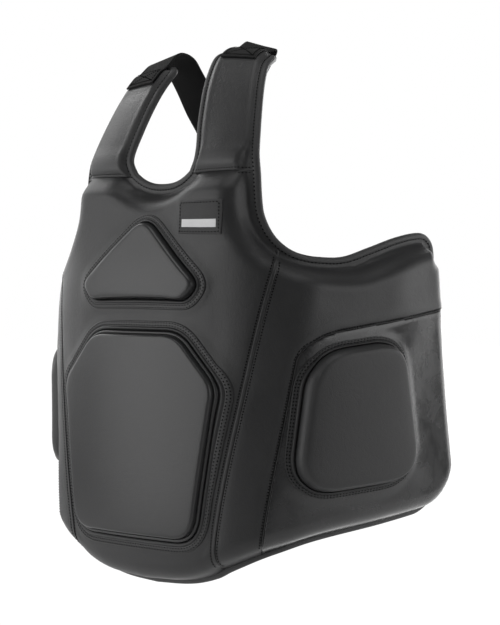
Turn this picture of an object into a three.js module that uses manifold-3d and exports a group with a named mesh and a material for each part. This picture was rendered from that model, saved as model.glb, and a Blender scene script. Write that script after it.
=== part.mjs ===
// A padded body protector worn on the front of the torso. Every padded piece is laid out in one
// pattern, across from the front centre and along from the hem, and wrapped round a torso.
// Millimetres, +Z up, the front looks along -Y and the wearer's left is +X.
import * as THREE from 'three';
import { mergeVertices } from 'three/addons/utils/BufferGeometryUtils.js';
import Module from 'manifold-3d';

const wasm = await Module();
wasm.setup();
const { clamp, degToRad, lerp, smoothstep } = THREE.MathUtils;

// clearances: between sewn neighbours, at a bound edge, and under a raised piece
const GAP = 0.3;
const EDGE_GAP = 0.6;
const SEAT = 1.0;

// plan of the lining, from the front centre round to the wing end
const PLAN = [
  { radius: 650, turn: degToRad(10.4) },
  { radius: 78, turn: degToRad(67) },
  { radius: 560, turn: degToRad(180) },
];

// centre line of the lining, from below the hem to the top of the shoulder
const SPINE = [
  { along: -60, back: -104, up: -60, spread: 0.97, inset: 0, hollow: 0 },
  { along: 0, back: -120, up: 0, spread: 0.97, inset: 0, hollow: 0 },
  { along: 30, back: -127, up: 30, spread: 0.98, inset: 0, hollow: 0 },
  { along: 70, back: -130, up: 70, spread: 0.985, inset: 0, hollow: 0 },
  { along: 130, back: -130, up: 130, spread: 1.0, inset: 0, hollow: 0 },
  { along: 250, back: -126, up: 250, spread: 1.02, inset: 0, hollow: 0 },
  { along: 360, back: -122, up: 360, spread: 1.03, inset: 0, hollow: 2 },
  { along: 440, back: -120, up: 440, spread: 1.03, inset: 0, hollow: 11 },
  { along: 500, back: -118, up: 500, spread: 1.015, inset: 0, hollow: 10 },
  { along: 530, back: -114, up: 530, spread: 1.0, inset: 1, hollow: 5 },
  { along: 607, back: -84, up: 601, spread: 1.0, inset: 13, hollow: 0 },
  { along: 656, back: -56, up: 641, spread: 1.0, inset: 20, hollow: 0 },
  { along: 690, back: -27.5, up: 656.5, spread: 1.0, inset: 25, hollow: 0 },
  { along: 722, back: 4, up: 660, spread: 1.0, inset: 29, hollow: 0 },
];
const SHOULDER_BEND = { from: 470, to: 600 };
const INSET_REACH = { from: 5, to: 42 };
const HOLLOW_REACH = 120;

// where the straps rest on the shoulders, the origin of the finished part
const REST = { back: -13, up: 663 };

// outline of the pattern
const HEM = [
  { across: 0, along: 2 },
  { across: 60, along: 6 },
  { across: 100, along: 16 },
  { across: 125, along: 28 },
  { across: 170, along: 47 },
  { across: 230, along: 62 },
  { across: 330, along: 75 },
  { across: 430, along: 87 },
];
const WING_TOP = [
  { across: 168, along: 413 },
  { across: 177, along: 406 },
  { across: 190, along: 400 },
  { across: 212, along: 396 },
  { across: 250, along: 396 },
  { across: 290, along: 408 },
  { across: 330, along: 420.5 },
  { across: 366, along: 427 },
  { across: 430, along: 427 },
];
const SIDE_SEAM = [
  { along: 0, across: 113 },
  { along: 120, across: 126 },
  { along: 221, across: 139 },
  { along: 338, across: 155 },
  { along: 413, across: 168 },
];
const ARMHOLE = [
  { along: 413, across: 168 },
  { along: 422, across: 160 },
  { along: 437, across: 151.5 },
  { along: 457, across: 145.5 },
  { along: 505, across: 143 },
  { along: 560, across: 140 },
  { along: 607, across: 136 },
  { along: 656, across: 129.5 },
  { along: 690, across: 125 },
  { along: 722, across: 114 },
];
const NECK_SIDE = [
  { along: 505, across: 51 },
  { along: 520, across: 60 },
  { along: 535, across: 62 },
  { along: 560, across: 60.5 },
  { along: 607, across: 58.5 },
  { along: 656, across: 54 },
  { along: 690, across: 45.5 },
  { along: 722, across: 43 },
];
const NECK = { bottom: 488, half: 51, power: 2.5 };
const STRAP_SEAM = 505;
const SEAM_TOP = 413;
const REAR = { low: 440, high: 391 };
const REAR_CORNER = { low: 46, high: 22 };

// padding: a thin sewn flange at every free edge, then a rounded rise to the full depth
const FLANGE = 7;
const FLANGE_WIDTH = 13;
const RISE = 23;
const BODY_FILL = 31;
const CHEST_FILL = 26;
const CHEST_FADE = { from: 330, to: 470 };
const WING_FILL = { low: 0, high: 10, from: 140, to: 360 };
const WING_FADE = 40;
const STRAP_FILL = 11;
const STRAP_FADE = { from: 478, to: 505 };
const STRAP_FLANGE_WIDTH = 9;
const STRAP_RISE = 15;
const SEAM_DIP = 3;
const SEAM_DIP_WIDTH = 10;

// spacing of the grids that the padded pieces are built on
const GRID = {
  front: { wide: 290, across: 26, along: 27 },
  wing: { wide: 275, high: 345, across: 27, along: 33 },
  strap: { wide: 95, high: 180, across: 22, along: 20 },
};
const RISE_STEPS = [0.1, 0.4, 1];
const STRAP_RISE_STEPS = [0.4, 1.1];
const CORNER_STEPS = [0, SEAM_DIP_WIDTH, 22, 34, 46, 58];
const REAR_STEPS = [0, 6, FLANGE_WIDTH, ...RISE_STEPS.map((f) => FLANGE_WIDTH + RISE * f)];
const EDGE_POINTS = { short: 20, long: 60 };

// rest of the sizes
const BINDING_WIDTH = 5;
const BINDING_LIP = 0.8;
const REAR_JOIN = 0.004;
const WELT_WIDTH = 13;
const WELT_HEIGHT = 4.5;
const LABEL = { low: 59, high: 113, bottom: 428, top: 467, thick: 1.6, columns: 4, rows: 3 };
const WEBBING = { width: 56, thick: 2.5, seat: 2.4, steps: [-0.5, -0.42, -0.25, 0.25, 0.42, 0.5] };

// raised pads: corners of the outer edge of the welt, with the radius of each corner
const CHEST_PAD = {
  height: 19,
  segments: 27,
  corners: [
    { across: 0, along: 462, radius: 30 },
    { across: 110, along: 364, radius: 20 },
    { across: 84, along: 336, radius: 20 },
    { across: -84, along: 336, radius: 20 },
    { across: -110, along: 364, radius: 20 },
  ],
};
const BELLY_PAD = {
  height: 23,
  segments: 36,
  corners: [
    { across: 73, along: 319, radius: 34 },
    { across: 132, along: 245, radius: 34 },
    { across: 106, along: 45, radius: 38 },
    { across: -106, along: 45, radius: 38 },
    { across: -132, along: 245, radius: 34 },
    { across: -73, along: 319, radius: 34 },
  ],
};
const SIDE_PAD = {
  height: 21,
  segments: 30,
  corners: [
    { across: 182, along: 288, radius: 40 },
    { across: 312, along: 308, radius: 40 },
    { across: 360, along: 128, radius: 40 },
    { across: 166, along: 113, radius: 40 },
  ],
};
const BLOCK_PROFILE = [
  { reach: 0, rise: 0 },
  { reach: 0.25, rise: 0 },
  { reach: 0.5, rise: 0 },
  { reach: 0.75, rise: 0 },
  { reach: 1, rise: 0 },
  { reach: 1, rise: 0.25 },
  { reach: 0.97, rise: 0.62 },
  { reach: 0.92, rise: 0.88 },
  { reach: 0.85, rise: 0.97 },
  { reach: 0.5, rise: 1 },
  { reach: 0, rise: 1 },
];

const WELT_PROFILE = [
  { inset: 1, rise: 0 },
  { inset: 1, rise: 0.7 },
  { inset: 0.5, rise: 1 },
  { inset: 0, rise: 0.6 },
  { inset: 0, rise: 0 },
  { inset: 1, rise: 0 },
];

// lower side cover, the glossy panel under the side pad
const COVER_EDGE = [
  { along: -60, across: 153 },
  { along: 73, across: 158 },
  { along: 191, across: 165 },
  { along: 279, across: 173 },
];
const COVER_TOP = [
  { across: 173, along: 279 },
  { across: 178, along: 290 },
  { across: 187, along: 299 },
  { across: 200, along: 306 },
  { across: 222, along: 312 },
  { across: 300, along: 324 },
  { across: 470, along: 350 },
];
const CUTTER = { inside: -14, outside: 64, low: -60, end: 460, rows: 8 };
const CUTTER_COLUMNS = [0, 0.012, 0.03, 0.055, 0.1, 0.2, 0.35, 0.5, 0.65, 0.8, 0.9, 1];

// routes of the shoulder webbings from the strap ends over the shoulders to the back patch
const ROUTE_LEFT = [
  { side: 58, back: 5, up: 671, tilt: 16 },
  { side: 52, back: 10, up: 661, tilt: 21 },
  { side: 46, back: 12, up: 649, tilt: 25 },
  { side: 37, back: 13, up: 626, tilt: 23 },
  { side: 28, back: 15, up: 597, tilt: 16 },
  { side: 19, back: 20, up: 563, tilt: 11 },
  { side: 11, back: 28, up: 530, tilt: 9 },
  { side: 8, back: 33, up: 500, tilt: 8 },
];
const ROUTE_RIGHT = [
  { side: 68, back: -43, up: 659, tilt: 12 },
  { side: 68, back: -27, up: 660, tilt: 12 },
  { side: 68, back: -13, up: 654, tilt: 12 },
  { side: 67, back: -4, up: 642, tilt: 13 },
  { side: 62, back: 2, up: 627, tilt: 16 },
  { side: 53, back: 8, up: 604, tilt: 23 },
  { side: 39, back: 12, up: 580, tilt: 28 },
  { side: 25, back: 15, up: 550, tilt: 29 },
  { side: 14, back: 21, up: 521, tilt: 29 },
  { side: 7, back: 28, up: 500, tilt: 28 },
];

const STRAPS = [
  { side: 'left', sign: 1, end: 714, tab: 674, rows: ROUTE_LEFT },
  { side: 'right', sign: -1, end: 660, tab: 632, rows: ROUTE_RIGHT },
];

const TAB_STEPS = 3;

// back patch, back strap and waist strap
const PATCH = { radius: 31, thick: 3, back: 35.8, up: 487, sides: 8 };
const BACK_STRAP = [
  { back: 32.2, up: 482 },
  { back: 33.0, up: 455 },
  { back: 42, up: 430 },
  { back: 60, up: 400 },
  { back: 90, up: 355 },
  { back: 126, up: 308 },
  { back: 155, up: 268 },
  { back: 165.4, up: 232 },
];
const BACK_STRAP_WIDTH = 50;
const WAIST = { low: 208, high: 266, thick: 2.5, lap: 34, sag: 24, steps: 12 };

const MATERIALS = {
  leather: new THREE.MeshStandardMaterial({ color: 0x2b2b2d, roughness: 0.55, metalness: 0 }),
  gloss: new THREE.MeshStandardMaterial({ color: 0x1f1f21, roughness: 0.25, metalness: 0 }),
  moulded: new THREE.MeshStandardMaterial({ color: 0x303032, roughness: 0.5, metalness: 0 }),
  tape: new THREE.MeshStandardMaterial({ color: 0x1a1a1b, roughness: 0.7, metalness: 0 }),
  webbing: new THREE.MeshStandardMaterial({ color: 0x161617, roughness: 0.85, metalness: 0 }),
  label: new THREE.MeshStandardMaterial({ color: 0x8a8a8c, roughness: 0.6, metalness: 0 }),
};

// value of one column of a table, smooth between its rows
function read(table, key, value, place) {
  const last = table.length - 1;
  const at = clamp(place, table[0][key], table[last][key]);
  let row = 0;
  while (row < last - 1 && at > table[row + 1][key]) {
    row += 1;
  }
  const slope = (i) => {
    const low = table[Math.max(i - 1, 0)];
    const high = table[Math.min(i + 1, last)];
    return (high[value] - low[value]) / (high[key] - low[key]);
  };
  const span = table[row + 1][key] - table[row][key];
  const t = (at - table[row][key]) / span;
  const t2 = t * t;
  const t3 = t2 * t;
  return (2 * t3 - 3 * t2 + 1) * table[row][value]
    + (t3 - 2 * t2 + t) * span * slope(row)
    + (3 * t2 - 2 * t3) * table[row + 1][value]
    + (t3 - t2) * span * slope(row + 1);
}

// place on the plan of the lining, by the length walked from the front centre
function plan(across) {
  let left = Math.abs(across);
  let turn = 0;
  let side = 0;
  let back = 0;
  for (const arc of PLAN) {
    const next = Math.min(turn + left / arc.radius, arc.turn);
    side += arc.radius * (Math.sin(next) - Math.sin(turn));
    back += arc.radius * (Math.cos(turn) - Math.cos(next));
    left -= arc.radius * (next - turn);
    turn = next;
  }
  return { side: Math.sign(across) * side, back };
}

// a point of the lining, the face that lies against the body
function lining(across, along) {
  const spine = (column, at = along) => read(SPINE, 'along', column, at);
  const { side, back } = plan(across);
  const spread = spine('spread');
  const bend = smoothstep(along, SHOULDER_BEND.from, SHOULDER_BEND.to);
  const rise = new THREE.Vector2(spine('back', along + 1) - spine('back', along - 1),
    spine('up', along + 1) - spine('up', along - 1)).normalize();
  const reach = smoothstep(Math.abs(across), INSET_REACH.from, INSET_REACH.to);
  const depth = back * spread;
  const hollow = spine('hollow') * (1 - smoothstep(Math.abs(across), 0, HOLLOW_REACH));
  return new THREE.Vector3(
    side * spread - Math.sign(across) * spine('inset') * reach,
    spine('back') + hollow + depth * lerp(1, rise.y, bend),
    spine('up') - depth * rise.x * bend,
  );
}

// a point above the lining, measured square to it
function skin(across, along, height) {
  const step = 0.5;
  const over = lining(across + step, along).sub(lining(across - step, along));
  const up = lining(across, along + step).sub(lining(across, along - step));
  return lining(across, along).addScaledVector(over.cross(up).normalize(), height);
}

// outer side of the front panel: the side seam, then the armhole
function frontSide(along) {
  return read(along < SEAM_TOP ? SIDE_SEAM : ARMHOLE, 'along', 'across', along);
}

function neckline(across) {
  return lerp(NECK.bottom, STRAP_SEAM, Math.min(1, Math.abs(across) / NECK.half) ** NECK.power);
}

const seamFoot = read(HEM, 'across', 'along', read(SIDE_SEAM, 'along', 'across', HEM[3].along));

// pattern place of the front panel, across from -1 to 1 and up from 0 to 1
function frontPlace(s, t) {
  const foot = read(HEM, 'across', 'along', Math.abs(s) * frontSide(seamFoot));
  const top = neckline(s * frontSide(STRAP_SEAM));
  return { across: s * frontSide(lerp(seamFoot, STRAP_SEAM, t)), along: lerp(foot, top, t) };
}

// how far a rounded corner cuts into the height near the wing end
function cornerCut(across, end, radius) {
  const into = Math.max(0, across - end + radius);
  return radius - Math.sqrt(Math.max(0, radius * radius - into * into));
}

// pattern place of a wing, from the side seam to the rear edge
function wingPlace(s, t) {
  const low = lerp(frontSide(seamFoot), REAR.low, s);
  const high = lerp(frontSide(SEAM_TOP), REAR.high, s);
  const foot = s === 0 ? seamFoot : read(HEM, 'across', 'along', low);
  const along = lerp(foot + cornerCut(low, REAR.low, REAR_CORNER.low),
    read(WING_TOP, 'across', 'along', high) - cornerCut(high, REAR.high, REAR_CORNER.high), t);
  const start = frontSide(lerp(seamFoot, SEAM_TOP - 1e-6, t));
  return { across: lerp(start, lerp(REAR.low, REAR.high, t), s), along };
}

// pattern place of a shoulder strap, from the neck edge to the armhole edge
function strapPlace(s, t, end) {
  const along = lerp(STRAP_SEAM + GAP, end, t);
  const across = lerp(read(NECK_SIDE, 'along', 'across', along), frontSide(along), s);
  return { across, along };
}

// evenly spaced fractions with closer ones at measured distances from each end
function fractions(length, near, far, step) {
  const from = near[near.length - 1];
  const to = length - far[far.length - 1];
  const count = Math.max(1, Math.round((to - from) / step));
  const middle = Array.from({ length: count - 1 }, (_, i) => lerp(from, to, (i + 1) / count));
  const all = [...near, ...middle, ...far.map((d) => length - d).reverse()];
  return all.map((d) => d / length);
}

// grids of the padded pieces: edge steps, then even steps between them
const EDGE_STEPS = [0, FLANGE_WIDTH, ...RISE_STEPS.map((f) => FLANGE_WIDTH + RISE * f)];
const STRAP_EDGE_STEPS = [
  0,
  STRAP_FLANGE_WIDTH,
  ...STRAP_RISE_STEPS.map((f) => STRAP_FLANGE_WIDTH + STRAP_RISE * f),
];
const armholeStart = (SEAM_TOP - seamFoot) / (STRAP_SEAM - seamFoot);
const FRONT_COLUMNS = fractions(GRID.front.wide, EDGE_STEPS, EDGE_STEPS, GRID.front.across)
  .map((f) => 2 * f - 1);
const FRONT_ROWS = [...fractions(STRAP_SEAM, EDGE_STEPS, EDGE_STEPS, GRID.front.along), armholeStart]
  .sort((a, b) => a - b);
const WING_COLUMNS = fractions(GRID.wing.wide, CORNER_STEPS, REAR_STEPS, GRID.wing.across);
const WING_ROWS = fractions(GRID.wing.high, EDGE_STEPS, EDGE_STEPS, GRID.wing.along);
const STRAP_COLUMNS = fractions(GRID.strap.wide, STRAP_EDGE_STEPS, STRAP_EDGE_STEPS, GRID.strap.across);
const STRAP_ROWS = fractions(GRID.strap.high, [0], [0], GRID.strap.along);

// free edges of the padded body, as pattern points on the wearer's left half
const count = (n) => Array.from({ length: n + 1 }, (_, i) => i / n);
const neckEnd = NECK.half / frontSide(STRAP_SEAM);
const FREE_EDGES = [
  [
    ...count(EDGE_POINTS.short).map((f) => frontPlace(f, 0)),
    ...count(EDGE_POINTS.long).map((f) => wingPlace(f, 0)),
    ...count(EDGE_POINTS.short).map((f) => wingPlace(1, f)),
    ...count(EDGE_POINTS.long).map((f) => wingPlace(1 - f, 1)),
    ...count(EDGE_POINTS.short).map((f) => frontPlace(1, lerp(armholeStart, 1, f))),
  ],
  count(EDGE_POINTS.short).map((f) => frontPlace(f * neckEnd, 1)),
];

// distance from a pattern point to the nearest free edge
function edgeDistance(across, along) {
  const point = new THREE.Vector3(Math.abs(across), along, 0);
  const near = new THREE.Vector3();
  const line = new THREE.Line3();
  let best = Infinity;
  for (const edge of FREE_EDGES) {
    for (let i = 1; i < edge.length; i += 1) {
      line.start.set(edge[i - 1].across, edge[i - 1].along, 0);
      line.end.set(edge[i].across, edge[i].along, 0);
      line.closestPointToPoint(point, true, near);
      best = Math.min(best, near.distanceTo(point));
    }
  }
  return best;
}

// quarter-round rise of the padding, 0 at its foot and 1 at its full depth
function swell(t) {
  const x = 1 - clamp(t, 0, 1);
  return Math.sqrt(1 - x * x);
}

// thickness of the padded body over the lining
function bodyThickness(across, along) {
  const reach = Math.abs(across);
  const chest = lerp(BODY_FILL, CHEST_FILL, smoothstep(along, CHEST_FADE.from, CHEST_FADE.to));
  const fill = lerp(chest, STRAP_FILL, smoothstep(along, STRAP_FADE.from, STRAP_FADE.to));
  const fromSeam = along < SEAM_TOP ? reach - frontSide(along) : reach - frontSide(SEAM_TOP);
  const bulge = lerp(WING_FILL.low, WING_FILL.high, smoothstep(along, WING_FILL.from, WING_FILL.to));
  const wing = bulge * smoothstep(fromSeam, 0, WING_FADE);
  const below = along < SEAM_TOP - RISE ? 1 : 0;
  const dip = SEAM_DIP * below * Math.max(0, 1 - Math.abs(fromSeam) / SEAM_DIP_WIDTH);
  return FLANGE + (fill + wing) * swell((edgeDistance(across, along) - FLANGE_WIDTH) / RISE) - dip;
}

function strapThickness(across, along) {
  const inside = Math.min(across - read(NECK_SIDE, 'along', 'across', along), frontSide(along) - across);
  return FLANGE + STRAP_FILL * swell((inside - STRAP_FLANGE_WIDTH) / STRAP_RISE);
}

// closed geometry with merged corners, no flat slivers and its faces pointing out
function closed(geometry) {
  geometry.deleteAttribute('normal');
  geometry.deleteAttribute('uv');
  const merged = mergeVertices(geometry, 1e-4);
  const index = merged.index.array;
  const position = merged.attributes.position;
  const [a, b, c] = [new THREE.Vector3(), new THREE.Vector3(), new THREE.Vector3()];
  const faces = [];
  let volume = 0;
  for (let i = 0; i < index.length; i += 3) {
    const face = [index[i], index[i + 1], index[i + 2]];
    if (new Set(face).size === 3) {
      [a, b, c].forEach((corner, k) => corner.fromBufferAttribute(position, face[k]));
      volume += a.dot(b.cross(c));
      faces.push(face);
    }
  }
  merged.setIndex(faces.flatMap((face) => (volume < 0 ? [face[0], face[2], face[1]] : face)));
  return merged;
}

// a bent slab: the columns and rows are fractions, and place gives the point for each of them
function slab(columns, rows, place) {
  const box = new THREE.BoxGeometry(1, 1, 1, columns.length - 1, rows.length - 1, 1);
  const position = box.attributes.position;
  for (let i = 0; i < position.count; i += 1) {
    const column = Math.round((position.getX(i) + 0.5) * (columns.length - 1));
    const row = Math.round((position.getY(i) + 0.5) * (rows.length - 1));
    const point = place(columns[column], rows[row], position.getZ(i) > 0);
    position.setXYZ(i, point.x, point.y, point.z);
  }
  return closed(box);
}

// a padded slab on the lining, mirrored by sign
function padded(columns, rows, place, thickness, sign = 1) {
  return slab(columns, rows, (s, t, outer) => {
    const { across, along } = place(s, t);
    return skin(sign * across, along, outer ? thickness(across, along) : 0);
  });
}

// outline of a raised pad as evenly spaced pattern points
function padOutline(pad, sign) {
  const shape = new THREE.Path();
  const corners = pad.corners.map(({ across, along, radius }) => ({
    at: new THREE.Vector2(sign * across, along),
    radius,
  }));
  corners.forEach(({ at, radius }, i) => {
    const toward = (other) => other.at.clone().sub(at).normalize();
    const before = toward(corners[(i + corners.length - 1) % corners.length]);
    const after = toward(corners[(i + 1) % corners.length]);
    const cut = radius / Math.tan(Math.acos(before.dot(after)) / 2);
    const enter = at.clone().addScaledVector(before, cut);
    const leave = at.clone().addScaledVector(after, cut);
    if (i === 0) {
      shape.moveTo(enter.x, enter.y);
    } else {
      shape.lineTo(enter.x, enter.y);
    }
    shape.quadraticCurveTo(at.x, at.y, leave.x, leave.y);
  });
  shape.closePath();
  return shape.getSpacedPoints(pad.segments).slice(0, pad.segments);
}

// a turned profile laid over an outline: reach 1 is the outline, and trim moves it inwards
function overOutline(profile, outline, place) {
  const centre = outline.reduce((sum, p) => sum.add(p), new THREE.Vector2()).divideScalar(outline.length);
  const points = profile.map(({ reach, rise }) => new THREE.Vector2(reach, rise));
  const turned = new THREE.LatheGeometry(points, outline.length);
  const position = turned.attributes.position;
  for (let i = 0; i < position.count; i += 1) {
    const edge = outline[Math.floor(i / profile.length) % outline.length];
    const { reach, rise, trim = 0 } = profile[i % profile.length];
    const ray = edge.clone().sub(centre);
    ray.setLength(Math.max(0, (ray.length() - trim) * reach));
    const point = place(centre.x + ray.x, centre.y + ray.y, rise);
    position.setXYZ(i, point.x, point.y, point.z);
  }
  return closed(turned);
}

// a raised pad and the welt sewn round it
function raisedPad(name, pad, sign, finish) {
  const outline = padOutline(pad, sign);
  const onBody = (across, along, rise) => skin(across, along, bodyThickness(across, along) + SEAT + rise);
  const block = BLOCK_PROFILE.map(({ reach, rise }) => ({ reach, rise, trim: WELT_WIDTH }));
  const welt = WELT_PROFILE.map(({ inset, rise }) => ({
    reach: 1,
    rise: rise * WELT_HEIGHT,
    trim: inset * (WELT_WIDTH - GAP),
  }));
  addMesh(name, overOutline(block, outline, (x, y, rise) => onBody(x, y, rise * pad.height)), finish);
  addMesh(name.replace('pad', 'pad_welt'), overOutline(welt, outline, onBody), MATERIALS.leather);
}

// a solid for cutting, and back again
function toSolid(geometry) {
  const vertProperties = new Float32Array(geometry.attributes.position.array);
  const triVerts = new Uint32Array(geometry.index.array);
  return new wasm.Manifold(new wasm.Mesh({ numProp: 3, vertProperties, triVerts }));
}

function toGeometry(solid) {
  const mesh = solid.getMesh();
  const geometry = new THREE.BufferGeometry();
  geometry.setAttribute('position', new THREE.BufferAttribute(new Float32Array(mesh.vertProperties), 3));
  geometry.setIndex(Array.from(mesh.triVerts));
  return geometry;
}

// the block of space that the side cover takes out of a wing, grown by a margin
function coverCutter(sign, margin) {
  const top = (across) => read(COVER_TOP, 'across', 'along', across) + margin;
  const shoulder = COVER_TOP[0];
  return slab(CUTTER_COLUMNS, count(CUTTER.rows), (s, t, outer) => {
    const edge = read(COVER_EDGE, 'along', 'across', lerp(CUTTER.low, shoulder.along, t)) - margin;
    const across = lerp(edge, CUTTER.end, s);
    const along = lerp(CUTTER.low, top(lerp(shoulder.across, CUTTER.end, s)), t);
    return skin(sign * across, along, outer ? CUTTER.outside : CUTTER.inside);
  });
}

// edge tape along a chain of pattern places, lying outside the edge
function binding(places) {
  const middle = places.map((p) => skin(p.across, p.along, FLANGE / 2));
  const edge = places.map((p, i) => {
    const before = middle[Math.max(i - 1, 0)];
    const after = middle[Math.min(i + 1, places.length - 1)];
    const square = skin(p.across, p.along, FLANGE).sub(middle[i]).normalize();
    return { square, out: after.clone().sub(before).cross(square).normalize() };
  });
  const low = -FLANGE / 2 - BINDING_LIP;
  return slab(places.map((_, i) => i), [0, 1], (i, t, outer) => middle[i].clone()
    .addScaledVector(edge[i].out, lerp(EDGE_GAP, EDGE_GAP + BINDING_WIDTH, t))
    .addScaledVector(edge[i].square, outer ? -low : low));
}

// a flat strap through cross-sections, each a function from the place across it to a point and its face
function ribbon(sections, width, thick, steps = [-0.5, 0.5]) {
  return slab(sections.map((_, i) => i), steps, (i, t, outer) => {
    const { point, face } = sections[i](t * width);
    return point.addScaledVector(face, outer ? thick : 0);
  });
}

// a flat cross-section of a free strap
function flat(centre, wide, face) {
  return (offset) => ({ point: centre.clone().addScaledVector(wide, offset), face });
}

const part = new THREE.Group();

function addMesh(name, geometry, material) {
  const mesh = new THREE.Mesh(geometry, material);
  mesh.name = name;
  part.add(mesh);
}

function addFrontPanel() {
  addMesh('front_panel', padded(FRONT_COLUMNS, FRONT_ROWS, frontPlace, bodyThickness), MATERIALS.leather);
  const columns = count(LABEL.columns).map((f) => lerp(LABEL.low, LABEL.high, f));
  const rows = count(LABEL.rows).map((f) => lerp(LABEL.bottom, LABEL.top, f));
  addMesh('label_patch', slab(columns, rows, (across, along, outer) => {
    const foot = bodyThickness(across, along) + SEAT;
    return skin(across, along, outer ? foot + LABEL.thick : foot);
  }), MATERIALS.label);
}

function addWing({ side, sign }) {
  const shifted = (s, t) => {
    const { across, along } = wingPlace(s, t);
    return { across: across + EDGE_GAP * (1 - s), along };
  };
  const wing = toSolid(padded(WING_COLUMNS, WING_ROWS, shifted, bodyThickness, sign));
  const panel = wing.subtract(toSolid(coverCutter(sign, GAP)));
  const cover = wing.intersect(toSolid(coverCutter(sign, 0)));
  addMesh(`side_panel_${side}`, toGeometry(panel), MATERIALS.leather);
  addMesh(`side_cover_${side}`, toGeometry(cover), MATERIALS.gloss);
}

function addStrap({ side, sign, end, tab, rows }) {
  const place = (s, t) => strapPlace(s, t, end);
  const pad = padded(STRAP_COLUMNS, STRAP_ROWS, place, strapThickness, sign);
  addMesh(`shoulder_strap_${side}`, pad, MATERIALS.leather);
  const middle = (along) => (read(NECK_SIDE, 'along', 'across', along) + frontSide(along)) / 2;
  const sewn = count(TAB_STEPS).map((f) => {
    const along = lerp(tab, end, f);
    return (offset) => {
      const across = middle(along) + offset;
      const point = skin(sign * across, along, strapThickness(across, along) + WEBBING.seat);
      return { point, face: point.clone().sub(skin(sign * across, along, 0)).normalize() };
    };
  });
  const route = rows.map(({ side: x, back, up }) => new THREE.Vector3(sign * x, back, up));
  const free = rows.map(({ tilt }, i) => {
    const before = i === 0 ? sewn[sewn.length - 1](0).point : route[i - 1];
    const after = route[Math.min(i + 1, route.length - 1)];
    const wide = new THREE.Vector3(sign * Math.cos(degToRad(tilt)), 0, -Math.sin(degToRad(tilt)));
    const face = wide.clone().cross(after.clone().sub(before)).normalize().multiplyScalar(sign);
    return flat(route[i], wide, face);
  });
  const geometry = ribbon([...sewn, ...free], WEBBING.width, WEBBING.thick, WEBBING.steps);
  addMesh(`webbing_${side}`, geometry, MATERIALS.webbing);
}

function addBack() {
  const outline = count(PATCH.sides - 1).map((f, i) => {
    const angle = (i + 0.5) * 2 * Math.PI / PATCH.sides;
    return new THREE.Vector2(Math.cos(angle), Math.sin(angle)).multiplyScalar(PATCH.radius);
  });
  const options = { depth: PATCH.thick, bevelEnabled: false };
  const patch = new THREE.ExtrudeGeometry(new THREE.Shape(outline), options);
  patch.rotateX(-Math.PI / 2);
  patch.translate(0, PATCH.back, PATCH.up);
  addMesh('back_patch', closed(patch), MATERIALS.leather);
  const sections = BACK_STRAP.map(({ back, up }, i) => {
    const before = BACK_STRAP[Math.max(i - 1, 0)];
    const after = BACK_STRAP[Math.min(i + 1, BACK_STRAP.length - 1)];
    const face = new THREE.Vector3(0, before.up - after.up, after.back - before.back).normalize();
    return flat(new THREE.Vector3(0, back, up), new THREE.Vector3(1, 0, 0), face);
  });
  addMesh('back_strap', ribbon(sections, BACK_STRAP_WIDTH, WEBBING.thick), MATERIALS.webbing);
  addMesh('waist_strap', waistStrap(), MATERIALS.webbing);
}

// waist strap, lapped inside the two rear edges and bowed out behind the back
function waistStrap() {
  const middle = (WAIST.low + WAIST.high) / 2;
  const edge = lerp(REAR.low, REAR.high, middle / WING_TOP[WING_TOP.length - 1].along);
  const inside = -BINDING_LIP - GAP;
  const start = skin(edge - WAIST.lap, middle, inside);
  const leave = skin(edge, middle, inside);
  const bow = count(WAIST.steps).map((f) => {
    const turn = Math.PI * f;
    return new THREE.Vector3(leave.x * Math.cos(turn), leave.y + WAIST.sag * Math.sin(turn), middle);
  });
  const outer = [start, ...bow, start.clone().setX(-start.x)];
  const wide = new THREE.Vector3(0, 0, 1);
  const sections = outer.map((centre, i) => {
    const before = outer[Math.max(i - 1, 0)];
    const after = outer[Math.min(i + 1, outer.length - 1)];
    const face = wide.clone().cross(after.clone().sub(before)).normalize();
    return flat(centre, wide, face);
  });
  return ribbon(sections, WAIST.high - WAIST.low, WAIST.thick);
}

function addBindings() {
  const hemSide = (sign) => WING_COLUMNS.map((f) => wingPlace(f, 0))
    .map(({ across, along }) => ({ across: sign * across, along }));
  const hem = [
    ...hemSide(-1).reverse(),
    ...FRONT_COLUMNS.slice(1, -1).map((f) => frontPlace(f, 0)),
    ...hemSide(1),
  ];
  addMesh('hem_binding', binding(hem), MATERIALS.tape);
  const strapEdge = (s, end) => STRAP_ROWS.map((f) => strapPlace(s, f, end));
  const armhole = FRONT_ROWS.filter((f) => f > armholeStart && f < 1).map((f) => frontPlace(1, f));
  for (const { side, sign, end } of STRAPS) {
    const places = [
      ...strapEdge(1, end).reverse(),
      ...armhole.slice().reverse(),
      ...WING_COLUMNS.map((f) => wingPlace(f, 1)),
      ...[REAR_JOIN, ...WING_ROWS.slice(1, -1)].reverse().map((f) => wingPlace(1, f)),
    ].map(({ across, along }) => ({ across: sign * across, along }));
    addMesh(`side_binding_${side}`, binding(sign > 0 ? places.reverse() : places), MATERIALS.tape);
  }
  const scoop = FRONT_COLUMNS.filter((f) => Math.abs(f) < neckEnd).map((f) => frontPlace(f, 1));
  const right = strapEdge(0, STRAPS[1].end).map(({ across, along }) => ({ across: -across, along }));
  const neck = [...right.reverse(), ...scoop, ...strapEdge(0, STRAPS[0].end)];
  addMesh('neck_binding', binding(neck.reverse()), MATERIALS.tape);
}

addFrontPanel();
STRAPS.forEach(addWing);
STRAPS.forEach(addStrap);
addBindings();
raisedPad('chest_pad', CHEST_PAD, 1, MATERIALS.moulded);
raisedPad('belly_pad', BELLY_PAD, 1, MATERIALS.moulded);
raisedPad('side_pad_left', SIDE_PAD, 1, MATERIALS.moulded);
raisedPad('side_pad_right', SIDE_PAD, -1, MATERIALS.moulded);
addBack();
part.position.set(0, -REST.back, -REST.up);

export default part;
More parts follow.
